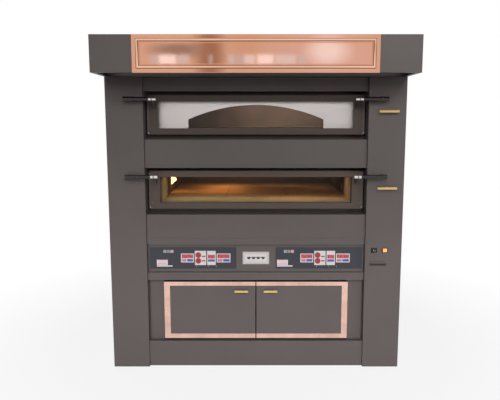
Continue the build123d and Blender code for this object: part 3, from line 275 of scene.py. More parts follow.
def coated(name, color, rough=(0.38, 0.48), grain=700.0, depth=0.00004, vary=0.05, **settings):
    """Sprayed or moulded surface: slow drift in colour, orange-peel grain and uneven gloss."""
    g = Graph(name)
    tone = g.span(g.noise(2.3, 4.0), 0.0, 1.0)
    g.color(g.mix(tone, scaled(color, 1 - vary), scaled(color, 1 + vary)))
    g.roughness(g.span(g.noise(38.0, 5.0), *rough))
    g.bump(g.noise(grain, 2.0), depth)
    g.set(**settings)
    return g.material


def metal(name, color, rough, drift=3.0, wave=0.0, along=(1, 1, 1), vary=0.06):
    """Sheet or turned metal: brushed grain along one way, slow waviness, uneven polish."""
    g = Graph(name)
    grain_depth = 0.00001
    fine = g.noise(220.0, 3.0, 0.6, g.stretch(*along))
    tone = g.span(g.noise(drift, 4.0), 0.0, 1.0)
    g.color(g.mix(tone, scaled(color, 1 - vary), scaled(color, 1 + vary)))
    g.roughness(g.span(fine, *rough))
    if wave:
        slow = g.noise(5.0, 2.0, 0.4)
        both = g.add("ShaderNodeMath", operation="MULTIPLY_ADD")
        g.link(slow, both.inputs[0])
        both.inputs[1].default_value = wave / grain_depth
        g.link(fine, both.inputs[2])
        g.bump(both.outputs[0], grain_depth)
    else:
        g.bump(fine, grain_depth)
    g.set(metallic=1.0)
    return g.material


def brick(name):
    """Pale firebrick with speckles, pores and browned patches."""
    g = Graph(name)
    patches = g.span(g.noise(4.0, 6.0, 0.6), 0.0, 1.0)
    base = g.mix(patches, srgb(156, 122, 86), srgb(184, 152, 110))
    specks = g.span(g.noise(260.0, 2.0), 0.0, 0.6, 0.6, 0.75)
    g.color(g.mix(specks, base, srgb(120, 92, 64)))
    g.roughness(g.span(g.noise(60.0), 0.82, 0.95))
    g.bump(g.noise(420.0, 4.0), 0.0004)
    g.set(specular=0.0)
    return g.material


def fibre(name):
    """Pale mineral wool."""
    g = Graph(name)
    g.color(g.mix(g.span(g.noise(18.0, 5.0), 0, 1), srgb(205, 200, 186), srgb(236, 232, 222)))
    g.roughness(g.span(g.noise(50.0), 0.9, 1.0))
    g.bump(g.noise(90.0, 6.0, 0.7), 0.002)
    return g.material


def stained_and_shaded_sheet(name, chamber, throat, flange):
    """Chamber lining: heat-browned and darkened as painted shade deep inside, paler in the throat,
    painted on the flange at the mouth.
    """
    g = Graph(name)
    depth = g.add("ShaderNodeSeparateXYZ")
    g.link(g.place, depth.inputs[0])
    y = depth.outputs["Y"]
    stain = g.span(g.noise(3.2, 5.0, 0.6), 0, 1, 0.35, 0.65)
    # The deep chamber's colour is darker than the throat's, partly heat-browning and partly painted
    # shade.
    inner = g.mix(stain, scaled(chamber, 0.75), scaled(chamber, 1.2))
    outer = g.mix(stain, scaled(throat, 0.85), scaled(throat, 1.1))
    step = FRONT_Y + CHAMBER_FRONT_D
    deep = g.mix(g.span(y, 0, 1, step, step + 0.001), outer, inner)
    mouth = FRONT_Y + FLANGE_BACK_D
    g.color(g.mix(g.span(y, 0, 1, mouth, mouth + 0.0004), flange, deep))
    g.roughness(g.span(g.noise(30.0, 4.0, 0.6, g.stretch(0.2, 1, 6)), 0.6, 0.8))
    g.bump(g.noise(350.0, 3.0, 0.6, g.stretch(0.05, 1, 1)), 0.00002)
    g.set(specular=0.0)
    return g.material


def window_glass(name):
    """Clear glass that lets light straight through to what is behind it."""
    g = Graph(name)
    smear = g.noise(6.0, 5.0, 0.6)
    g.roughness(g.span(smear, 0.0, 0.03))
    g.set(transmission=1.0, ior=1.45, specular=0.2)
    g.shader.inputs["Base Color"].default_value = (0.98, 0.975, 0.97, 1)
    path = g.add("ShaderNodeLightPath")
    clear = g.add("ShaderNodeBsdfTransparent")
    clear.inputs["Color"].default_value = (0.93, 0.925, 0.92, 1)
    choose = g.add("ShaderNodeMixShader")
    g.link(path.outputs["Is Shadow Ray"], choose.inputs[0])
    g.link(g.shader.outputs[0], choose.inputs[1])
    g.link(clear.outputs[0], choose.inputs[2])
    g.link(choose.outputs[0], g.output.inputs["Surface"])
    return g.material


def lit(name, color, strength):
    """Glowing plastic or glass, brighter in its middle tones."""
    g = Graph(name)
    tone = g.mix(g.span(g.noise(160.0, 2.0), 0, 1), scaled(color, 0.85), color)
    g.color(tone)
    g.link(tone, g.shader.inputs["Emission Color"])
    g.set(glow=strength)
    g.shader.inputs["Roughness"].default_value = 0.35
    return g.material


paint = coated("warm_grey_paint", srgb(103, 97, 96), rough=(0.40, 0.50), depth=0.00003, specular=0.2)
# Door frames: darker copies of the body paint, as painted shade of their recess; the upper one darker
# still, as painted shade under the hood.
lower_door_shade_paint = coated("lower_door_shade_paint", srgb(92, 82, 77), rough=(0.42, 0.52), depth=0.00003,
                        specular=0.2)
door_paint = coated("door_paint", srgb(82, 73, 69), rough=(0.42, 0.52), depth=0.00003, specular=0.2)
arm_paint = coated("arm_paint", srgb(98, 89, 88), rough=(0.40, 0.50), depth=0.00003, specular=0.2)
primer = coated("primer", srgb(46, 46, 48), rough=(0.5, 0.65))
hood_copper = metal("polished_copper", srgb(227, 176, 151), rough=(0.025, 0.05), wave=0.00007,
                    along=(0.15, 1, 3), vary=0.03)
# Bead moulding: a darker copper in its creases as painted shade, a lighter one on its crest as painted
# highlight.
crease_shade_copper = metal("creased_copper_painted_shade", srgb(134, 90, 80), rough=(0.3, 0.45), vary=0.1)
bead_highlight_copper = metal("bead_highlight_copper", srgb(250, 206, 176), rough=(0.08, 0.14), vary=0.03)
strip_copper = metal("copper_strip", srgb(232, 192, 176), rough=(0.16, 0.28), drift=9.0, wave=0.0004,
                     vary=0.13)
brass = metal("brass", srgb(242, 212, 150), rough=(0.40, 0.50), along=(0.1, 1, 1))
chrome = metal("chrome", srgb(222, 220, 222), rough=(0.08, 0.14), vary=0.02)
galvanised = metal("galvanised", srgb(158, 163, 166), rough=(0.35, 0.55), drift=14.0, vary=0.1)
filter_metal = metal("filter_metal", srgb(150, 150, 150), rough=(0.3, 0.5), along=(1, 1, 0.1))
# Chamber colour darker than the throat's: heat-browning, and painted shade of the deep chamber.
lining = stained_and_shaded_sheet("heat_tint_and_shade_steel", srgb(96, 76, 62), srgb(148, 132, 106), srgb(92, 86, 84))
arch_steel = metal("arch_steel", srgb(213, 211, 213), rough=(0.42, 0.55), along=(0.05, 1, 2), vary=0.03)
firebrick = brick("firebrick")
blanket = fibre("fibre_blanket")
sheath = metal("element_sheath", srgb(74, 62, 56), rough=(0.45, 0.6), vary=0.15)
membrane = coated("membrane_film", srgb(62, 66, 73), rough=(0.3, 0.4), grain=900.0, depth=0.00001,
                  vary=0.04, specular=0.3)
module_white = coated("module_white", srgb(228, 222, 222), rough=(0.28, 0.38), depth=0.00001, vary=0.02)
key_red = coated("key_red", srgb(164, 60, 66), rough=(0.35, 0.45), depth=0.00001)
digit_ink = coated("digit_ink", srgb(226, 132, 146), rough=(0.3, 0.4), depth=0.00001)
black_plastic = coated("black_plastic", srgb(26, 25, 25), rough=(0.35, 0.45), grain=1500.0)
gloss_black = coated("gloss_black", srgb(23, 21, 21), rough=(0.24, 0.32), depth=0.00001, coat=0.25)
amber = lit("amber_lit", srgb(255, 164, 92), 0.85)
glass = window_glass("door_glass")
lamp_glow = lit("lamp_glow", srgb(255, 222, 160), 2.0)
red_window = coated("red_window", srgb(186, 62, 78), rough=(0.2, 0.3), depth=0.00001, vary=0.08)
blue_window = coated("blue_window", srgb(96, 96, 178), rough=(0.2, 0.3), depth=0.00001, vary=0.08)
pink_window = coated("pink_window", srgb(206, 132, 146), rough=(0.2, 0.3), depth=0.00001)
pale_ink = coated("pale_ink", srgb(238, 222, 228), rough=(0.4, 0.5), depth=0.00001)
grey_ink = coated("grey_ink", srgb(170, 174, 178), rough=(0.4, 0.5), depth=0.00001)
pink_ink = coated("pink_ink", srgb(222, 168, 178), rough=(0.4, 0.5), depth=0.00001)
dark_ink = coated("dark_ink", srgb(44, 42, 46), rough=(0.4, 0.5), depth=0.00001)
silver = metal("silver_plate", srgb(168, 164, 166), rough=(0.34, 0.44), along=(0.1, 1, 1), vary=0.02)
plate_rim = coated("plate_rim", srgb(196, 190, 191), rough=(0.35, 0.45), depth=0.00001, vary=0.02)
# Painted shadow under the louvre: a dark core and a paler halo.
louvre_shadow_paint = coated("louvre_shadow_paint", srgb(58, 52, 54), rough=(0.8, 0.95), grain=900.0, depth=0.0001)
louvre_shadow_halo_paint = coated("louvre_shadow_halo_paint", srgb(80, 74, 75), rough=(0.7, 0.85), depth=0.00003)
gasket = coated("gasket", srgb(70, 62, 54), rough=(0.8, 0.95), grain=400.0, depth=0.0004)

looks = {
    paint: [
        "left_pilaster", "right_pilaster", "left_side_panel", "right_side_panel", "back_panel",
        "roof_panel", "hood_shell", "header_panel", "mid_panel", "low_panel", "plinth",
        "control_fascia", "cabinet_front_frame", "left_cabinet_door", "right_cabinet_door",
    ],
    # Door frames take the copies of the body paint darkened as painted shade.
    door_paint: ["upper_door_frame"],
    lower_door_shade_paint: ["lower_door_frame"],
    arm_paint: ["upper_door_arms", "lower_door_arms"],
    primer: ["base_frame", "hinge_pins"],
    hood_copper: ["hood_copper_panel"],
    strip_copper: ["left_cabinet_trim", "right_cabinet_trim"],
    brass: ["left_cabinet_handle", "right_cabinet_handle", "upper_damper_pull", "lower_damper_pull"],
    chrome: ["upper_door_collars", "lower_door_collars"],
    galvanised: [
        "levelling_feet", "flue_collar", "control_box", "cabinet_liner", "steam_ducts",
        "upper_damper_gate", "lower_damper_gate",
    ],
    filter_metal: ["hood_filter"],
    lining: ["upper_chamber", "lower_chamber"],
    arch_steel: ["upper_arch_plate"],
    firebrick: ["hearth_tiles"],
    blanket: ["insulation"],
    sheath: ["heating_elements"],
    membrane: ["control_panels"],
    module_white: ["display_modules"],
    key_red: ["left_upper_key", "left_lower_key", "right_upper_key", "right_lower_key"],
    black_plastic: ["switch_housings", "cable_gland"],
    gloss_black: ["main_switch_rocker", "upper_door_grips", "lower_door_grips"],
    amber: ["lamp_switch_rocker"],
    glass: ["upper_door_glass", "lower_door_glass"],
    lamp_glow: ["chamber_lamps"],
}
for material, names in looks.items():
    for name in names:
        slots = nodes[name].material_slots
        if slots:
            for holder in slots:
                holder.material = material
        else:
            nodes[name].data.materials.append(material)

for name in ("upper_door_collars", "lower_door_collars"):
    bevel = nodes[name].modifiers.new("rounded_rims", "BEVEL")
    bevel.width = 0.0035
    bevel.segments = 4
    bevel.limit_method = "ANGLE"


# Mesh pieces

def new_piece(name, bm, body, slot_name, *materials, smooth_angle=None):
    """Turn a bmesh into an object that rides on a body."""
    mesh = bpy.data.meshes.new(name)
    bmesh.ops.recalc_face_normals(bm, faces=bm.faces)
    bm.to_mesh(mesh)
    bm.free()
    piece = bpy.data.objects.new(name, mesh)
    bpy.context.scene.collection.objects.link(piece)
    for material in materials:
        mesh.materials.append(material)
    if smooth_angle:
        mesh.shade_smooth()
        mesh.set_sharp_from_angle(angle=math.radians(smooth_angle))
    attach(piece, body)


def add_box(bm, low, high, bevel=0.0, index=0):
    """Box with rounded edges, added to a bmesh."""
    made = bmesh.ops.create_cube(bm, size=1.0)
    verts = made["verts"]
    low, high = Vector(low), Vector(high)
    size = high - low
    bmesh.ops.scale(bm, vec=size, verts=verts)
    bmesh.ops.translate(bm, vec=(low + high) / 2, verts=verts)
    faces = {face for vert in verts for face in vert.link_faces}
    if bevel:
        edges = list(dict.fromkeys(edge for vert in verts for edge in vert.link_edges))
        made = bmesh.ops.bevel(bm, geom=edges, offset=bevel, segments=2, affect="EDGES",
                               profile=0.5)
        faces = set(made["faces"]) | {face for vert in made["verts"] for face in vert.link_faces}
    for face in faces:
        face.material_index = index


def front_box(bm, x0, x1, z0, z1, d_back, proud, bevel=0.0003, index=0):
    """Thin plate that stands on a surface at a depth and reaches forward."""
    add_box(bm, at(x0, d_back - proud, z0), at(x1, d_back, z1), bevel, index)


def add_turned(bm, profile, origin, axis, sides):
    """Turn a profile of (radius, distance) points about an axis through the origin."""
    turn = Vector((0, 0, 1)).rotation_difference(Vector(axis)).to_matrix().to_4x4()
    place = Matrix.Translation(origin) @ turn
    angles = [2 * math.pi * i / sides for i in range(sides)]
    rings = []
    for radius, distance in profile:
        points = [(radius * math.cos(a), radius * math.sin(a), distance) for a in angles]
        if radius < ON_AXIS:
            points = [(0, 0, distance)]
        rings.append([bm.verts.new(place @ Vector(point)) for point in points])
    for first, second in zip(rings, rings[1:]):
        for i in range(sides):
            j = (i + 1) % sides
            corners = [first[i % len(first)], first[j % len(first)]]
            corners += [second[j % len(second)], second[i % len(second)]]
            corners = [v for n, v in enumerate(corners) if v not in corners[:n]]
            bm.faces.new(corners).smooth = True


def add_rivet(bm, origin, axis, radius, height, sides):
    """Domed head."""
    add_turned(bm, [(r * radius, h * height) for r, h in DOME], origin, axis, sides)


def add_sweep(bm, loops, shade_strips):
    """Join closed loops of four corners into a frame; the strips listed in shade_strips take the second
    material, the painted shade.
    """
    for n, (first, second) in enumerate(zip(loops, loops[1:])):
        for i in range(4):
            j = (i + 1) % 4
            face = bm.faces.new((first[i], first[j], second[j], second[i]))
            face.material_index = 1 if n in shade_strips else 0


# Displays on the two control panels

def add_digits(bm, text, x0, z0, width, height):
    """Seven-segment figures in a row."""
    step = width / len(text)
    digit = step * 0.62
    stroke = height * 0.13
    trim = stroke * 0.4
    for n, letter in enumerate(text):
        left = x0 + n * step + (step - digit) / 2
        for part in DIGITS[letter]:
            sx, sz, flat = SEGMENTS[part]
            cx, cz = left + sx * digit, z0 + sz * height
            half_w = digit / 2 - trim if flat else stroke / 2
            half_h = stroke / 2 if flat else height / 4 - trim
            x1, x2, z1, z2 = cx - half_w, cx + half_w, cz - half_h, cz + half_h
            front_box(bm, x1, x2, z1, z2, FIGURE_D, 0.0003, 0.0, FIGURE)


def add_window(bm, module, share, index):
    """Coloured inlay in a module; the share says which part of the room inside its frame it fills."""
    x0, z0, width, height = module
    room, rise = width - 2 * MODULE_FRAME, height - 2 * MODULE_FRAME
    left = x0 + MODULE_FRAME + share[0] * room + INLAY_GAP
    low = z0 + MODULE_FRAME + share[1] * rise + INLAY_GAP
    right = left + share[2] * room - 2 * INLAY_GAP
    high = low + share[3] * rise - 2 * INLAY_GAP
    front_box(bm, left, right, low, high, WINDOW_FLOOR_D + 0.0001, 0.0006, 0.0002, index)
    return left, right, low, high


def add_readout(bm, module, share, text):
    """Red inlay with figures in it."""
    left, right, low, high = add_window(bm, module, share, RED)
    margin = FIGURE_MARGIN
    width, height = right - left - 2 * margin, high - low - 2 * margin
    add_digits(bm, text, left + margin, low + margin, width, height)


def make_displays():
    """Inlays of each group of four modules: a readout, the key module, a tall and a low readout."""
    bm = bmesh.new()
    for start in GROUPS:
        x = start
        for n, (width, text) in enumerate(zip(MODULE_WIDTHS, READOUTS)):
            height = TALL_MODULE if n in (1, 2) else LOW_MODULE
            module = (x, FASCIA_MIDDLE - height / 2, width, height)
            if n in (0, 3):
                add_readout(bm, module, (0, 0.45, 1, 0.55), text)
                add_window(bm, module, (0, 0, 0.42, 0.36), PINK)
                add_window(bm, module, (0.46, 0, 0.54, 0.36), BLUE)
            elif n == 2:
                add_readout(bm, module, (0, 0.45, 1, 0.3), text)
                add_window(bm, module, (0, 0.2, 1, 0.2), BLUE)
            else:
                add_window(bm, module, (0.62, 0.56, 0.38, 0.12), RED)
                add_window(bm, module, (0.62, 0.22, 0.38, 0.12), RED)
            x += width + MODULE_SPACING
    colors = (red_window, blue_window, pink_window, digit_ink)
    new_piece("display_windows", bm, "body", "module_frame", *colors)


def make_panel_labels():
    """Bare labels and tick marks on the two membranes: a band of three, a card with stripes, a strip."""
    bm = bmesh.new()
    for shift in (0.0, LABEL_SHIFT):
        x = BAND_X + shift
        for start, end, ink in ((0.0, 0.018, GREY), (0.021, 0.037, SILVER), (0.040, 0.058, ROSE)):
            front_box(bm, x + start, x + end, 0.680, 0.697, MEMBRANE_D, 0.0004, 0.0001, ink)
        x = CARD_X + shift
        front_box(bm, x, x + 0.063, 0.608, 0.639, MEMBRANE_D, 0.0006, 0.0002, PALE)
        front_box(bm, x, x + 0.090, 0.599, 0.606, MEMBRANE_D, 0.0005, 0.0001, PALE)
        for row in (0.613, 0.619, 0.631):
            front_box(bm, x + 0.006, x + 0.057, row, row + 0.003, CARD_FACE_D, 0.0003, 0.0, ROSE)
        for tick in TICKS:
            x = tick + shift
            front_box(bm, x, x + 0.003, 0.597, 0.604, MEMBRANE_D, 0.0004, 0.0, GREY)
    new_piece("panel_labels", bm, "body", "module_frame", grey_ink, pale_ink, silver, pink_ink)


def make_plate_marks():
    """Dark marks of the centre plate, the line that joins them, and the plate's rim and inner line."""
    bm = bmesh.new()
    outline = [(-MARK_HALF, MARK_RISE), (MARK_HALF, MARK_RISE),
               (MARK_FOOT_HALF, -MARK_RISE), (-MARK_FOOT_HALF, -MARK_RISE)]
    for n in range(4):
        x = (n - 1.5) * MARK_PITCH
        rings = []
        for grow, proud in ((1, -MARK_PROUD), (0.95, MARK_PROUD)):
            spots = [at(x + px * grow, PLATE_D - proud, FASCIA_MIDDLE + pz * grow) for px, pz in outline]
            rings.append([bm.verts.new(spot) for spot in spots])
        back, front = rings
        bm.faces.new(front)
        for i in range(4):
            j = (i + 1) % 4
            bm.faces.new((back[i], back[j], front[j], front[i]))
    reach = 1.5 * MARK_PITCH
    top = FASCIA_MIDDLE + MARK_RISE
    front_box(bm, -reach, reach, top - 0.0036, top - 0.0006, PLATE_D + 0.0001, 0.0003, 0.0, 0)
    half_x, half_z = PLATE_HALF
    for inset, width, proud, ink in ((0.0, 0.006, 0.0009, 1), (0.011, 0.002, 0.0003, 2)):
        x, z = half_x - inset, half_z - inset
        low, high = FASCIA_MIDDLE - z, FASCIA_MIDDLE + z
        for x0, x1, z0, z1 in ((-x, x, low, low + width), (-x, x, high - width, high),
                               (-x, -x + width, low + width, high - width),
                               (x - width, x, low + width, high - width)):
            front_box(bm, x0, x1, z0, z1, PLATE_D + 0.0001, proud, 0.0002, ink)
    new_piece("centre_plate_marks", bm, "body", "module_frame", dark_ink, plate_rim, grey_ink)


# Right pilaster

def make_rocker_marks():
    """Plain on and off marks on the rockers, whose faces stand tipped."""
    ring = [(0.0016, 0.0), (0.0026, 0.0), (0.0026, 0.0008), (0.0016, 0.0008), (0.0016, 0.0)]
    for name, x in ROCKERS.items():
        bm = bmesh.new()
        add_box(bm, (0.0042, -0.0082, -0.0035), (0.0054, -0.0072, 0.0035), 0.0002)
        add_turned(bm, ring, Vector((-0.0052, -0.0074, 0)), (0, -1, 0), 20)
        tip = Matrix.Rotation(math.radians(ROCKER_TIP_DEG), 4, "Z")
        turn = Matrix.Translation((x, FRONT_Y + ROCKER_D, ROCKER_Z)) @ tip
        bmesh.ops.transform(bm, matrix=turn, verts=bm.verts)
        new_piece(f"{name}_rocker_marks", bm, f"{name}_rocker", "module_frame", pale_ink)


def make_louvre_shadow():
    """Painted shadow under the lip of the pressed louvre: a dark strip, with a paler halo as its soft
    edge.
    """
    bm = bmesh.new()
    front_box(bm, *LOUVRE_SHADOW_HALO, 0.0, 0.0005, 0.0002, 1)
    front_box(bm, *LOUVRE_SHADOW, -0.0004, 0.0004, 0.0001, 0)
    new_piece("painted_louvre_shadow", bm, "body", "black_plastic", louvre_shadow_paint, louvre_shadow_halo_paint)


# Trim, screws and seals

def make_trim_rivets():
    """Small rivets along the copper strips of the cabinet doors."""
    for side, sign in (("left", -1), ("right", 1)):
        spots = [(x, z) for x in TRIM_RIVETS_X for z in TRIM_ROWS_Z]
        spots += [(TRIM_STRIP_X, z) for z in TRIM_RIVETS_Z]
        bm = bmesh.new()
        for x, z in spots:
            add_rivet(bm, at(sign * x, TRIM_D, z), (0, -1, 0), RIVET_RADIUS, RIVET_RISE, 10)
        new_piece(f"{side}_trim_rivets", bm, f"{side}_cabinet", "copper", strip_copper, smooth_angle=40)


def make_grip_ends():
    """Bright screw in the outer end of each grip."""
    head = [(0.0, 0.0005), (0.004, 0.0005), (0.0046, 0.0), (0.0046, -0.002)]
    for name, deck_z in DECKS.items():
        bm = bmesh.new()
        for sign in (-1, 1):
            add_turned(bm, head, at(sign * GRIP_END_X, GRIP_D, deck_z + GRIP_HEIGHT), (sign, 0, 0), 16)
        new_piece(f"{name}_grip_screws", bm, f"{name}_door", "chrome", chrome, smooth_angle=40)


def make_lamp_lenses():
    """Round glass lens on each square chamber lamp."""
    bm = bmesh.new()
    for deck_z in DECKS.values():
        middle = at(LAMP_X, LAMP_D, deck_z + SILL + LAMP_HEIGHT)
        add_rivet(bm, middle, (1, 0, 0), LENS_RADIUS, LENS_RISE, 24)
    new_piece("lamp_lenses", bm, "body", "lamp_glass", lamp_glow, smooth_angle=60)


def make_bead_frame():
    """Raised moulding over the copper plate's bead, mitred at its corners; its crest is a lighter copper
    as painted highlight, and its creases a darker copper as painted shade.
    """
    crest = [math.radians(a) for a in (-65, -48, -32, -16, 0, 16, 32, 48, 65)]
    profile = [(-BEAD_FOOT, 0.0), (-BEAD_TOE, BEAD_STEP)]
    profile += [(BEAD_HALF * math.sin(a), BEAD_RISE * math.cos(a)) for a in crest]
    profile += [(BEAD_TOE, BEAD_STEP), (BEAD_FOOT, 0.0)]
    bm = bmesh.new()
    loops = []
    for across, proud in profile:
        x = COPPER_HALF - BEAD_INSET - across
        z0, z1 = HOOD_LOW + BEAD_INSET + across, HOOD_HIGH - BEAD_INSET - across
        corners = ((-x, z0), (x, z0), (x, z1), (-x, z1))
        loops.append([bm.verts.new(at(cx, COPPER_D - proud, cz)) for cx, cz in corners])
    strips = list(range(len(loops) - 1))
    # The three strips at each foot of the bead take the painted shade of the creases.
    add_sweep(bm, loops, strips[:3] + strips[-3:])
    new_piece("hood_bead_frame", bm, "body", "copper", bead_highlight_copper, crease_shade_copper, smooth_angle=35)


def make_door_bolts():
    """Slotted screws at the lower corners of each door, on its face and under the hinge; each slot is a
    black bar across the head, as painted shade.
    """
    head = [(0.0, 0.0022), (0.0030, 0.0021), (0.0046, 0.0014), (0.0052, 0.0), (0.0052, -0.001)]
    pivot = (ARM_X, ARM_D, ARM_PIVOT, 0.9)
    corner = (CORNER_SCREW_X, DOOR_D, CORNER_SCREW_Z, 0.45)
    head_and_slot_shade = (chrome, black_plastic)
    for name, deck_z in DECKS.items():
        bm = bmesh.new()
        for sign in (-1, 1):
            for x, d, z, size in (pivot, corner):
                ring = [(r * size, h * size) for r, h in head]
                add_turned(bm, ring, at(sign * x, d, deck_z + z), (0, -1, 0), 18)
                # Black bar across the chrome head: painted shade of the slot.
                slot_shade_low = at(sign * x - 0.003 * size, d - 0.0026 * size, deck_z + z - 0.0005)
                slot_shade_high = at(sign * x + 0.003 * size, d - 0.0018 * size, deck_z + z + 0.0005)
                add_box(bm, slot_shade_low, slot_shade_high, 0.0, 1)
        new_piece(f"{name}_door_screws", bm, f"{name}_door", "chrome", *head_and_slot_shade, smooth_angle=50)


def spaced(low, high, count):
    """Evenly spaced values from low to high."""
    return [low + (high - low) * i / (count - 1) for i in range(count)]


def add_screws(bm, node, spots, direction, rise=1.0):
    """Pan-head screws where rays along a direction first meet a panel; a low rise gives flat heads."""
    direction = Vector(direction)
    for spot in spots:
        hit, point = nodes[node].ray_cast(Vector(spot) - direction * 0.5, direction)[:2]
        if hit:
            ring = [(r * SCREW_RADIUS, h * SCREW_RADIUS * rise) for r, h in PAN_HEAD]
            add_turned(bm, ring, point, -direction, 14)


def make_panel_screws():
    """Screws that hold the side, back and roof panels, the hood's rear and the flue collar."""
    edge = 0.022
    end = 0.04
    inset = 0.013
    for side, sign in (("left", -1), ("right", 1)):
        bm = bmesh.new()
        node = f"{side}_side_panel"
        low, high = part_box(node)
        x = sign * max(abs(low[0]), abs(high[0]))
        heights = spaced(low[2] + end, high[2] - end, 7)
        depths = spaced(low[1] + 0.3, high[1] - 0.3, 3)
        spots = [(x, y, z) for y in (low[1] + 0.06, high[1] - edge) for z in heights]
        spots += [(x, y, z) for z in (low[2] + edge, high[2] - edge) for y in depths]
        add_screws(bm, node, spots, (-sign, 0, 0), rise=0.12)
        new_piece(f"{side}_panel_screws", bm, "body", "galvanised", galvanised, smooth_angle=40)
    bm = bmesh.new()
    low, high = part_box("back_panel")
    columns = (low[0] + edge, high[0] - edge)
    heights = spaced(low[2] + end, high[2] - end, 7)
    between = spaced(columns[0], columns[1], 7)[1:-1]
    spots = [(x, high[1], z) for x in columns for z in heights]
    spots += [(x, high[1], z) for z in (low[2] + edge, high[2] - edge) for x in between]
    add_screws(bm, "back_panel", spots, (0, -1, 0))
    low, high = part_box("roof_panel")
    spots = [(x, high[1] - edge, high[2]) for x in spaced(low[0] + edge, high[0] - edge, 6)]
    add_screws(bm, "roof_panel", spots, (0, 0, -1))
    low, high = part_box("flue_collar")
    middle = [(a + b) / 2 for a, b in zip(low, high)]
    reach = (high[0] - low[0]) / 2 - inset
    sides = (-1, 1)
    spots = [(middle[0] + sx * reach, middle[1] + sy * reach, high[2]) for sx in sides for sy in sides]
    add_screws(bm, "flue_collar", spots, (0, 0, -1))
    new_piece("back_and_roof_screws", bm, "body", "galvanised", galvanised, smooth_angle=40)


def make_gaskets():
    """Rope seal round the back of each door, and the steel strip that keeps the glass in its rebate."""
    w = 0.005
    for name, deck_z in DECKS.items():
        bm = bmesh.new()
        low, high = deck_z + SILL, deck_z + SILL + WINDOW_HEIGHT
        for grow, d0, d1, index in ((0.004, 0.0782, 0.0805, 0), (0.016, 0.0985, 0.1022, 1)):
            x, z0, z1 = WINDOW_HALF + grow, low - grow, high + grow
            for a, b in (((-x - w, z0 - w), (x + w, z0)), ((-x - w, z1), (x + w, z1 + w)),
                         ((-x - w, z0), (-x, z1)), ((x, z0), (x + w, z1))):
                add_box(bm, at(a[0], d0, a[1]), at(b[0], d1, b[1]), 0.0006, index)
        new_piece(f"{name}_door_seal", bm, f"{name}_door", "frame_steel", arch_steel, gasket)


make_displays()
make_panel_labels()
make_plate_marks()
make_rocker_marks()
make_louvre_shadow()
make_trim_rivets()
make_grip_ends()
make_lamp_lenses()
make_bead_frame()
make_door_bolts()
make_panel_screws()
make_gaskets()


# Studio

def math_node(tree, operation, first, second, clamp=False):
    """Math node whose two inputs are sockets or numbers."""
    node = tree.nodes.new("ShaderNodeMath")
    node.operation = operation
    node.use_clamp = clamp
    for socket, value in zip(node.inputs, (first, second)):
        if isinstance(value, float):
            socket.default_value = value
        else:
            tree.links.new(value, socket)
    return node.outputs[0]


def unscattered(tree, path):
    """1 for rays that no matt surface has scattered yet, else 0."""
    return math_node(tree, "LESS_THAN", path.outputs["Diffuse Depth"], 0.5)


def seen_share(tree):
    """1 where the camera sees a surface directly, in metal or through glass, else 0."""
    path = tree.nodes.new("ShaderNodeLightPath")
    direct = math_node(tree, "ADD", path.outputs["Is Camera Ray"], path.outputs["Is Transmission Ray"])
    seen = math_node(tree, "ADD", direct, path.outputs["Is Glossy Ray"], clamp=True)
    return math_node(tree, "MULTIPLY", seen, unscattered(tree, path))


def quad_object(name, corners, material):
    """Flat stage piece with four corners."""
    mesh = bpy.data.meshes.new(name)
    mesh.from_pydata([tuple(c) for c in corners], [], [tuple(range(len(corners)))])
    obj = bpy.data.objects.new(name, mesh)
    bpy.context.scene.collection.objects.link(obj)
    mesh.materials.append(material)
    return obj


def backdrop_material(name, near):
    """Pale floor that looks white away from the object, and keeps the shadow near it."""
    g = Graph(name)
    g.color(g.mix(g.span(g.noise(0.8, 2.0), 0, 1), srgb(190, 189, 188), srgb(195, 194, 193)))
    g.shader.inputs["Roughness"].default_value = 0.9
    g.set(specular=0.1)
    white = g.add("ShaderNodeEmission")
    white.inputs["Color"].default_value = (1, 1, 1, 1)
    white.inputs["Strength"].default_value = 1.0
    reach = g.add("ShaderNodeVectorMath", operation="LENGTH")
    g.link(g.place, reach.inputs[0])
    away = g.span(reach.outputs["Value"], near, 1.0, 1.2, 2.4)
    choose = g.add("ShaderNodeMixShader")
    g.link(math_node(g.tree, "MULTIPLY", seen_share(g.tree), away), choose.inputs[0])
    g.link(g.shader.outputs[0], choose.inputs[1])
    g.link(white.outputs[0], choose.inputs[2])
    g.link(choose.outputs[0], g.output.inputs["Surface"])
    return g.material


def glow_card(name, corners, strength, color, fade=None):
    """Card that only mirror images show, like a window or a wall; fade is (centre, width, height)."""
    g = Graph(name)
    emission = g.add("ShaderNodeEmission")
    emission.inputs["Color"].default_value = color
    path = g.add("ShaderNodeLightPath")
    power = math_node(g.tree, "MULTIPLY", unscattered(g.tree, path), strength)
    g.link(power, emission.inputs["Strength"])
    surface = emission.outputs[0]
    if fade:
        centre, width, height = fade
        shift = g.add("ShaderNodeVectorMath", operation="SUBTRACT")
        g.link(g.place, shift.inputs[0])
        shift.inputs[1].default_value = centre
        unit = g.add("ShaderNodeVectorMath", operation="MULTIPLY")
        g.link(shift.outputs[0], unit.inputs[0])
        unit.inputs[1].default_value = (2 / width, 0, 2 / height)
        reach = g.add("ShaderNodeVectorMath", operation="LENGTH")
        g.link(unit.outputs[0], reach.inputs[0])
        choose = g.add("ShaderNodeMixShader")
        clear = g.add("ShaderNodeBsdfTransparent")
        g.link(g.span(reach.outputs["Value"], 0, 1, 0.3, 1.0), choose.inputs[0])
        g.link(surface, choose.inputs[1])
        g.link(clear.outputs[0], choose.inputs[2])
        surface = choose.outputs[0]
    g.link(surface, g.output.inputs["Surface"])
    card = quad_object(name, corners, g.material)
    card.visible_camera = False
    card.visible_diffuse = False
    card.visible_shadow = False


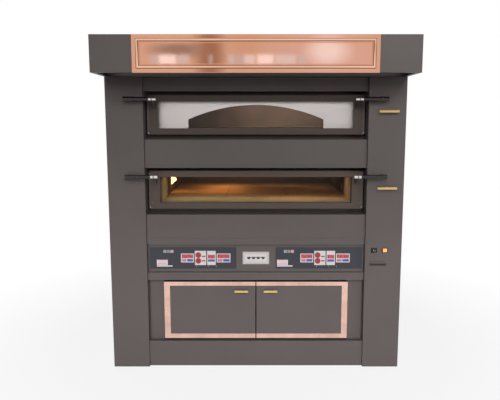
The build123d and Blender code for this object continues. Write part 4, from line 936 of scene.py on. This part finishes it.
def wall_card(name, centre, width, height, strength, color, soft=False):
    """Upright card that faces the object."""
    x, y, z = centre
    half_x, half_z = width / 2, height / 2
    corners = [(x + sx * half_x, y, z + sz * half_z) for sx, sz in ((-1, -1), (1, -1), (1, 1), (-1, 1))]
    glow_card(name, corners, strength, color, fade=(centre, width, height) if soft else None)


def add_lamp(name, kind, position, power, color, target=None):
    """Lamp whose own shape the camera never sees, not in metal or through glass either."""
    lamp = bpy.data.lights.new(name, kind)
    lamp.energy = power
    lamp.color = color
    holder = bpy.data.objects.new(name, lamp)
    bpy.context.scene.collection.objects.link(holder)
    holder.location = position
    if target is not None:
        direction = Vector(target) - Vector(position)
        holder.rotation_euler = direction.to_track_quat("-Z", "Y").to_euler()
    holder.visible_camera = False
    holder.visible_glossy = False
    holder.visible_transmission = False
    return holder


def area_lamp(name, position, target, width, height, power, color=(1, 1, 1)):
    """Rectangular soft light."""
    holder = add_lamp(name, "AREA", position, power, color, target)
    holder.data.shape = "RECTANGLE"
    holder.data.size = width
    holder.data.size_y = height
    return holder


def spot_lamp(name, position, target, cone_deg, power, color):
    """Soft-edged cone of light."""
    lamp = add_lamp(name, "SPOT", position, power, color, target).data
    lamp.spot_size = math.radians(cone_deg)
    lamp.spot_blend = 1.0
    lamp.shadow_soft_size = 0.4


def inner_lamp(name, position, power, radius, color):
    """Bare bulb."""
    lamp = add_lamp(name, "POINT", position, power, color).data
    lamp.shadow_soft_size = radius


def make_world():
    """Dim even light, and plain white wherever the world itself is seen."""
    world = bpy.data.worlds.new("studio")
    bpy.context.scene.world = world
    world.use_nodes = True
    tree = world.node_tree
    background = tree.nodes["Background"]
    background.inputs["Color"].default_value = (1, 0.985, 0.97, 1)
    background.inputs["Strength"].default_value = 0.04
    seen = tree.nodes.new("ShaderNodeBackground")
    seen.inputs["Color"].default_value = (1, 1, 1, 1)
    seen.inputs["Strength"].default_value = 1.0
    choose = tree.nodes.new("ShaderNodeMixShader")
    tree.links.new(seen_share(tree), choose.inputs[0])
    tree.links.new(background.outputs[0], choose.inputs[1])
    tree.links.new(seen.outputs[0], choose.inputs[2])
    tree.links.new(choose.outputs[0], tree.nodes["World Output"].inputs["Surface"])


def make_studio():
    """Floor, world and the lamps in front of and behind the oven."""
    half = FLOOR_HALF
    corners = [(-half, -half, 0), (half, -half, 0), (half, half, 0), (-half, half, 0)]
    quad_object("studio_floor", corners, backdrop_material("studio_white", 0.87))
    make_world()
    aim = (0, FRONT_Y, 0.8)
    key = area_lamp("key", (0.0, -5.2, 3.4), aim, 3.6, 2.6, 125, (1.0, 0.985, 0.965))
    key.visible_transmission = True
    area_lamp("side", (3.6, -3.6, 1.8), aim, 1.6, 1.6, 26, (1.0, 0.97, 0.95))
    for name, sign in (("left", -1), ("right", 1)):
        foot = (sign * 0.8, FRONT_Y, 0.1)
        spot_lamp(f"{name}_low", (sign * 0.9, -3.3, 0.5), foot, 54, 118, (1.0, 0.97, 0.98))
    spot_lamp("hood_right", (1.5, -3.6, 3.1), (0.76, FRONT_Y, 1.78), 15, 160, (0.90, 0.98, 1.0))
    area_lamp("rim", (-3.2, 2.6, 3.0), (0, 0, 1.0), 2.5, 1.8, 60)
    area_lamp("fill", (3.6, 2.2, 2.4), (0, 0, 0.9), 2.5, 1.8, 35)


def make_reflections():
    """What polished metal shows of the room: a wall with a band of windows, ceiling, sides and floor."""
    y = ROOM_Y
    wall_card("dark_room", (0, y - 0.2, 1.35), 12.0, 1.2, 0.26, (1.0, 0.93, 0.92, 1))
    wall_card("room_foot", (0, y - 0.2, 0.37), 12.0, 0.74, 0.12, (1.0, 0.85, 0.75, 1))
    for name, x in (("left", -2.75), ("right", 2.75)):
        wall_card(f"{name}_corner", (x, y + 0.02, 1.7), 1.5, 3.4, 0.62, (1.0, 0.90, 0.82, 1))
    wall_card("wall", (0, y - 0.1, 2.45), 12.0, 1.1, 0.86, (1.0, 0.90, 0.82, 1))
    wall_card("brown_wall", (-0.72, y - 0.05, 2.45), 0.62, 1.6, 0.47, (1.0, 0.70, 0.52, 1), soft=True)
    wall_card("shelf", (-1.22, y - 0.04, 2.53), 1.20, 0.32, 0.46, (0.95, 0.84, 0.84, 1), soft=True)
    wall_card("lintel", (-1.32, y - 0.03, 2.67), 0.95, 0.09, 1.05, (1.0, 0.94, 0.86, 1), soft=True)
    wall_card("orange_wall", (-0.16, y - 0.05, 2.60), 0.66, 0.9, 0.84, (1.0, 0.84, 0.70, 1), soft=True)
    wall_card("pink_wall", (1.10, y - 0.06, 2.45), 1.90, 1.3, 0.92, (1.0, 0.92, 0.98, 1), soft=True)
    for n, (x, width, strength) in enumerate(WINDOW_PANES):
        wall_card(f"window_{n}", (x, y, 2.37), width, 0.15, strength, DAYLIGHT)
    wall_card("bay_window", (1.12, y, 2.50), 0.85, 0.60, 1.45, DAYLIGHT, soft=True)
    dim = (1.0, 0.88, 0.80, 1)
    top = ROOM_HEIGHT
    near = -0.9
    glow_card("ceiling", [(-5, y, top), (5, y, top), (5, near, top), (-5, near, top)], 1.15, dim)
    glow_card("far_floor", [(-5, y, 0.01), (5, y, 0.01), (5, -3.8, 0.01), (-5, -3.8, 0.01)], 0.7, dim)
    for name, x in (("left", -ROOM_HALF), ("right", ROOM_HALF)):
        glow_card(f"{name}_wall", [(x, y, 0.4), (x, near, 0.4), (x, near, top), (x, y, top)], 0.8, dim)


def make_chamber_light():
    """Glow of the oven lamps inside the chambers and on the throats."""
    lower = DECKS["lower"] + SILL
    upper = DECKS["upper"] + SILL
    amber_light = (1.0, 0.52, 0.20)
    inner_lamp("lower_lamp", at(-0.50, 0.60, lower + 0.085), 0.2, 0.03, amber_light)
    inner_lamp("lower_right_lamp", at(0.42, 0.75, lower + 0.09), 0.05, 0.05, (1.0, 0.75, 0.50))
    under = Vector((0, 0, -0.1))
    for name, x, width, power, color in (("lower_glow", -0.235, 0.20, 0.60, amber_light),
                                         ("lower_far_glow", 0.05, 0.8, 0.14, (1.0, 0.50, 0.32))):
        place = at(x, 0.74, lower + 0.13)
        area_lamp(name, place, place + under, width, 0.45, power, color)
    behind = Vector((0, 0.1, 0.07))
    for name, x, base, width, power in (("upper_back_glow", 0.20, upper, 0.62, 2.45),
                                        ("upper_left_glow", -0.30, upper, 0.3, 0.14),
                                        ("lower_back_glow", 0.05, lower, 0.9, 0.46)):
        place = at(x, 0.80, base + 0.075)
        area_lamp(name, place, place + behind, width, 0.08, power, (0.94, 1.0, 1.04))
    for name, x, base, power, color in (("lower_left", -0.27, lower, 0.40, (0.94, 0.80, 0.46)),
                                        ("lower_right", 0.27, lower, 0.46, (1.0, 0.66, 0.36)),
                                        ("upper", 0, upper, 0.06, (1.0, 0.86, 0.70))):
        place = at(x, 0.25, base + 0.14)
        area_lamp(f"{name}_throat_glow", place, at(x, 0.22, base), 0.5, 0.06, power, color)


def make_camera():
    """Camera where the photograph was taken from."""
    data = bpy.data.cameras.new("photo_camera")
    data.sensor_fit = "HORIZONTAL"
    data.sensor_width = SENSOR_MM
    data.lens = LENS_MM
    data.shift_x = CAMERA_SHIFT
    data.clip_end = 100.0
    camera = bpy.data.objects.new("photo_camera", data)
    bpy.context.scene.collection.objects.link(camera)
    camera.location = (0, FRONT_Y - CAMERA_DISTANCE, CAMERA_HEIGHT)
    camera.rotation_euler = (math.radians(90 - CAMERA_PITCH_DEG), 0, 0)
    bpy.context.scene.camera = camera


make_camera()
make_studio()
make_reflections()
make_chamber_light()

bpy.context.scene.view_settings.view_transform = "Standard"
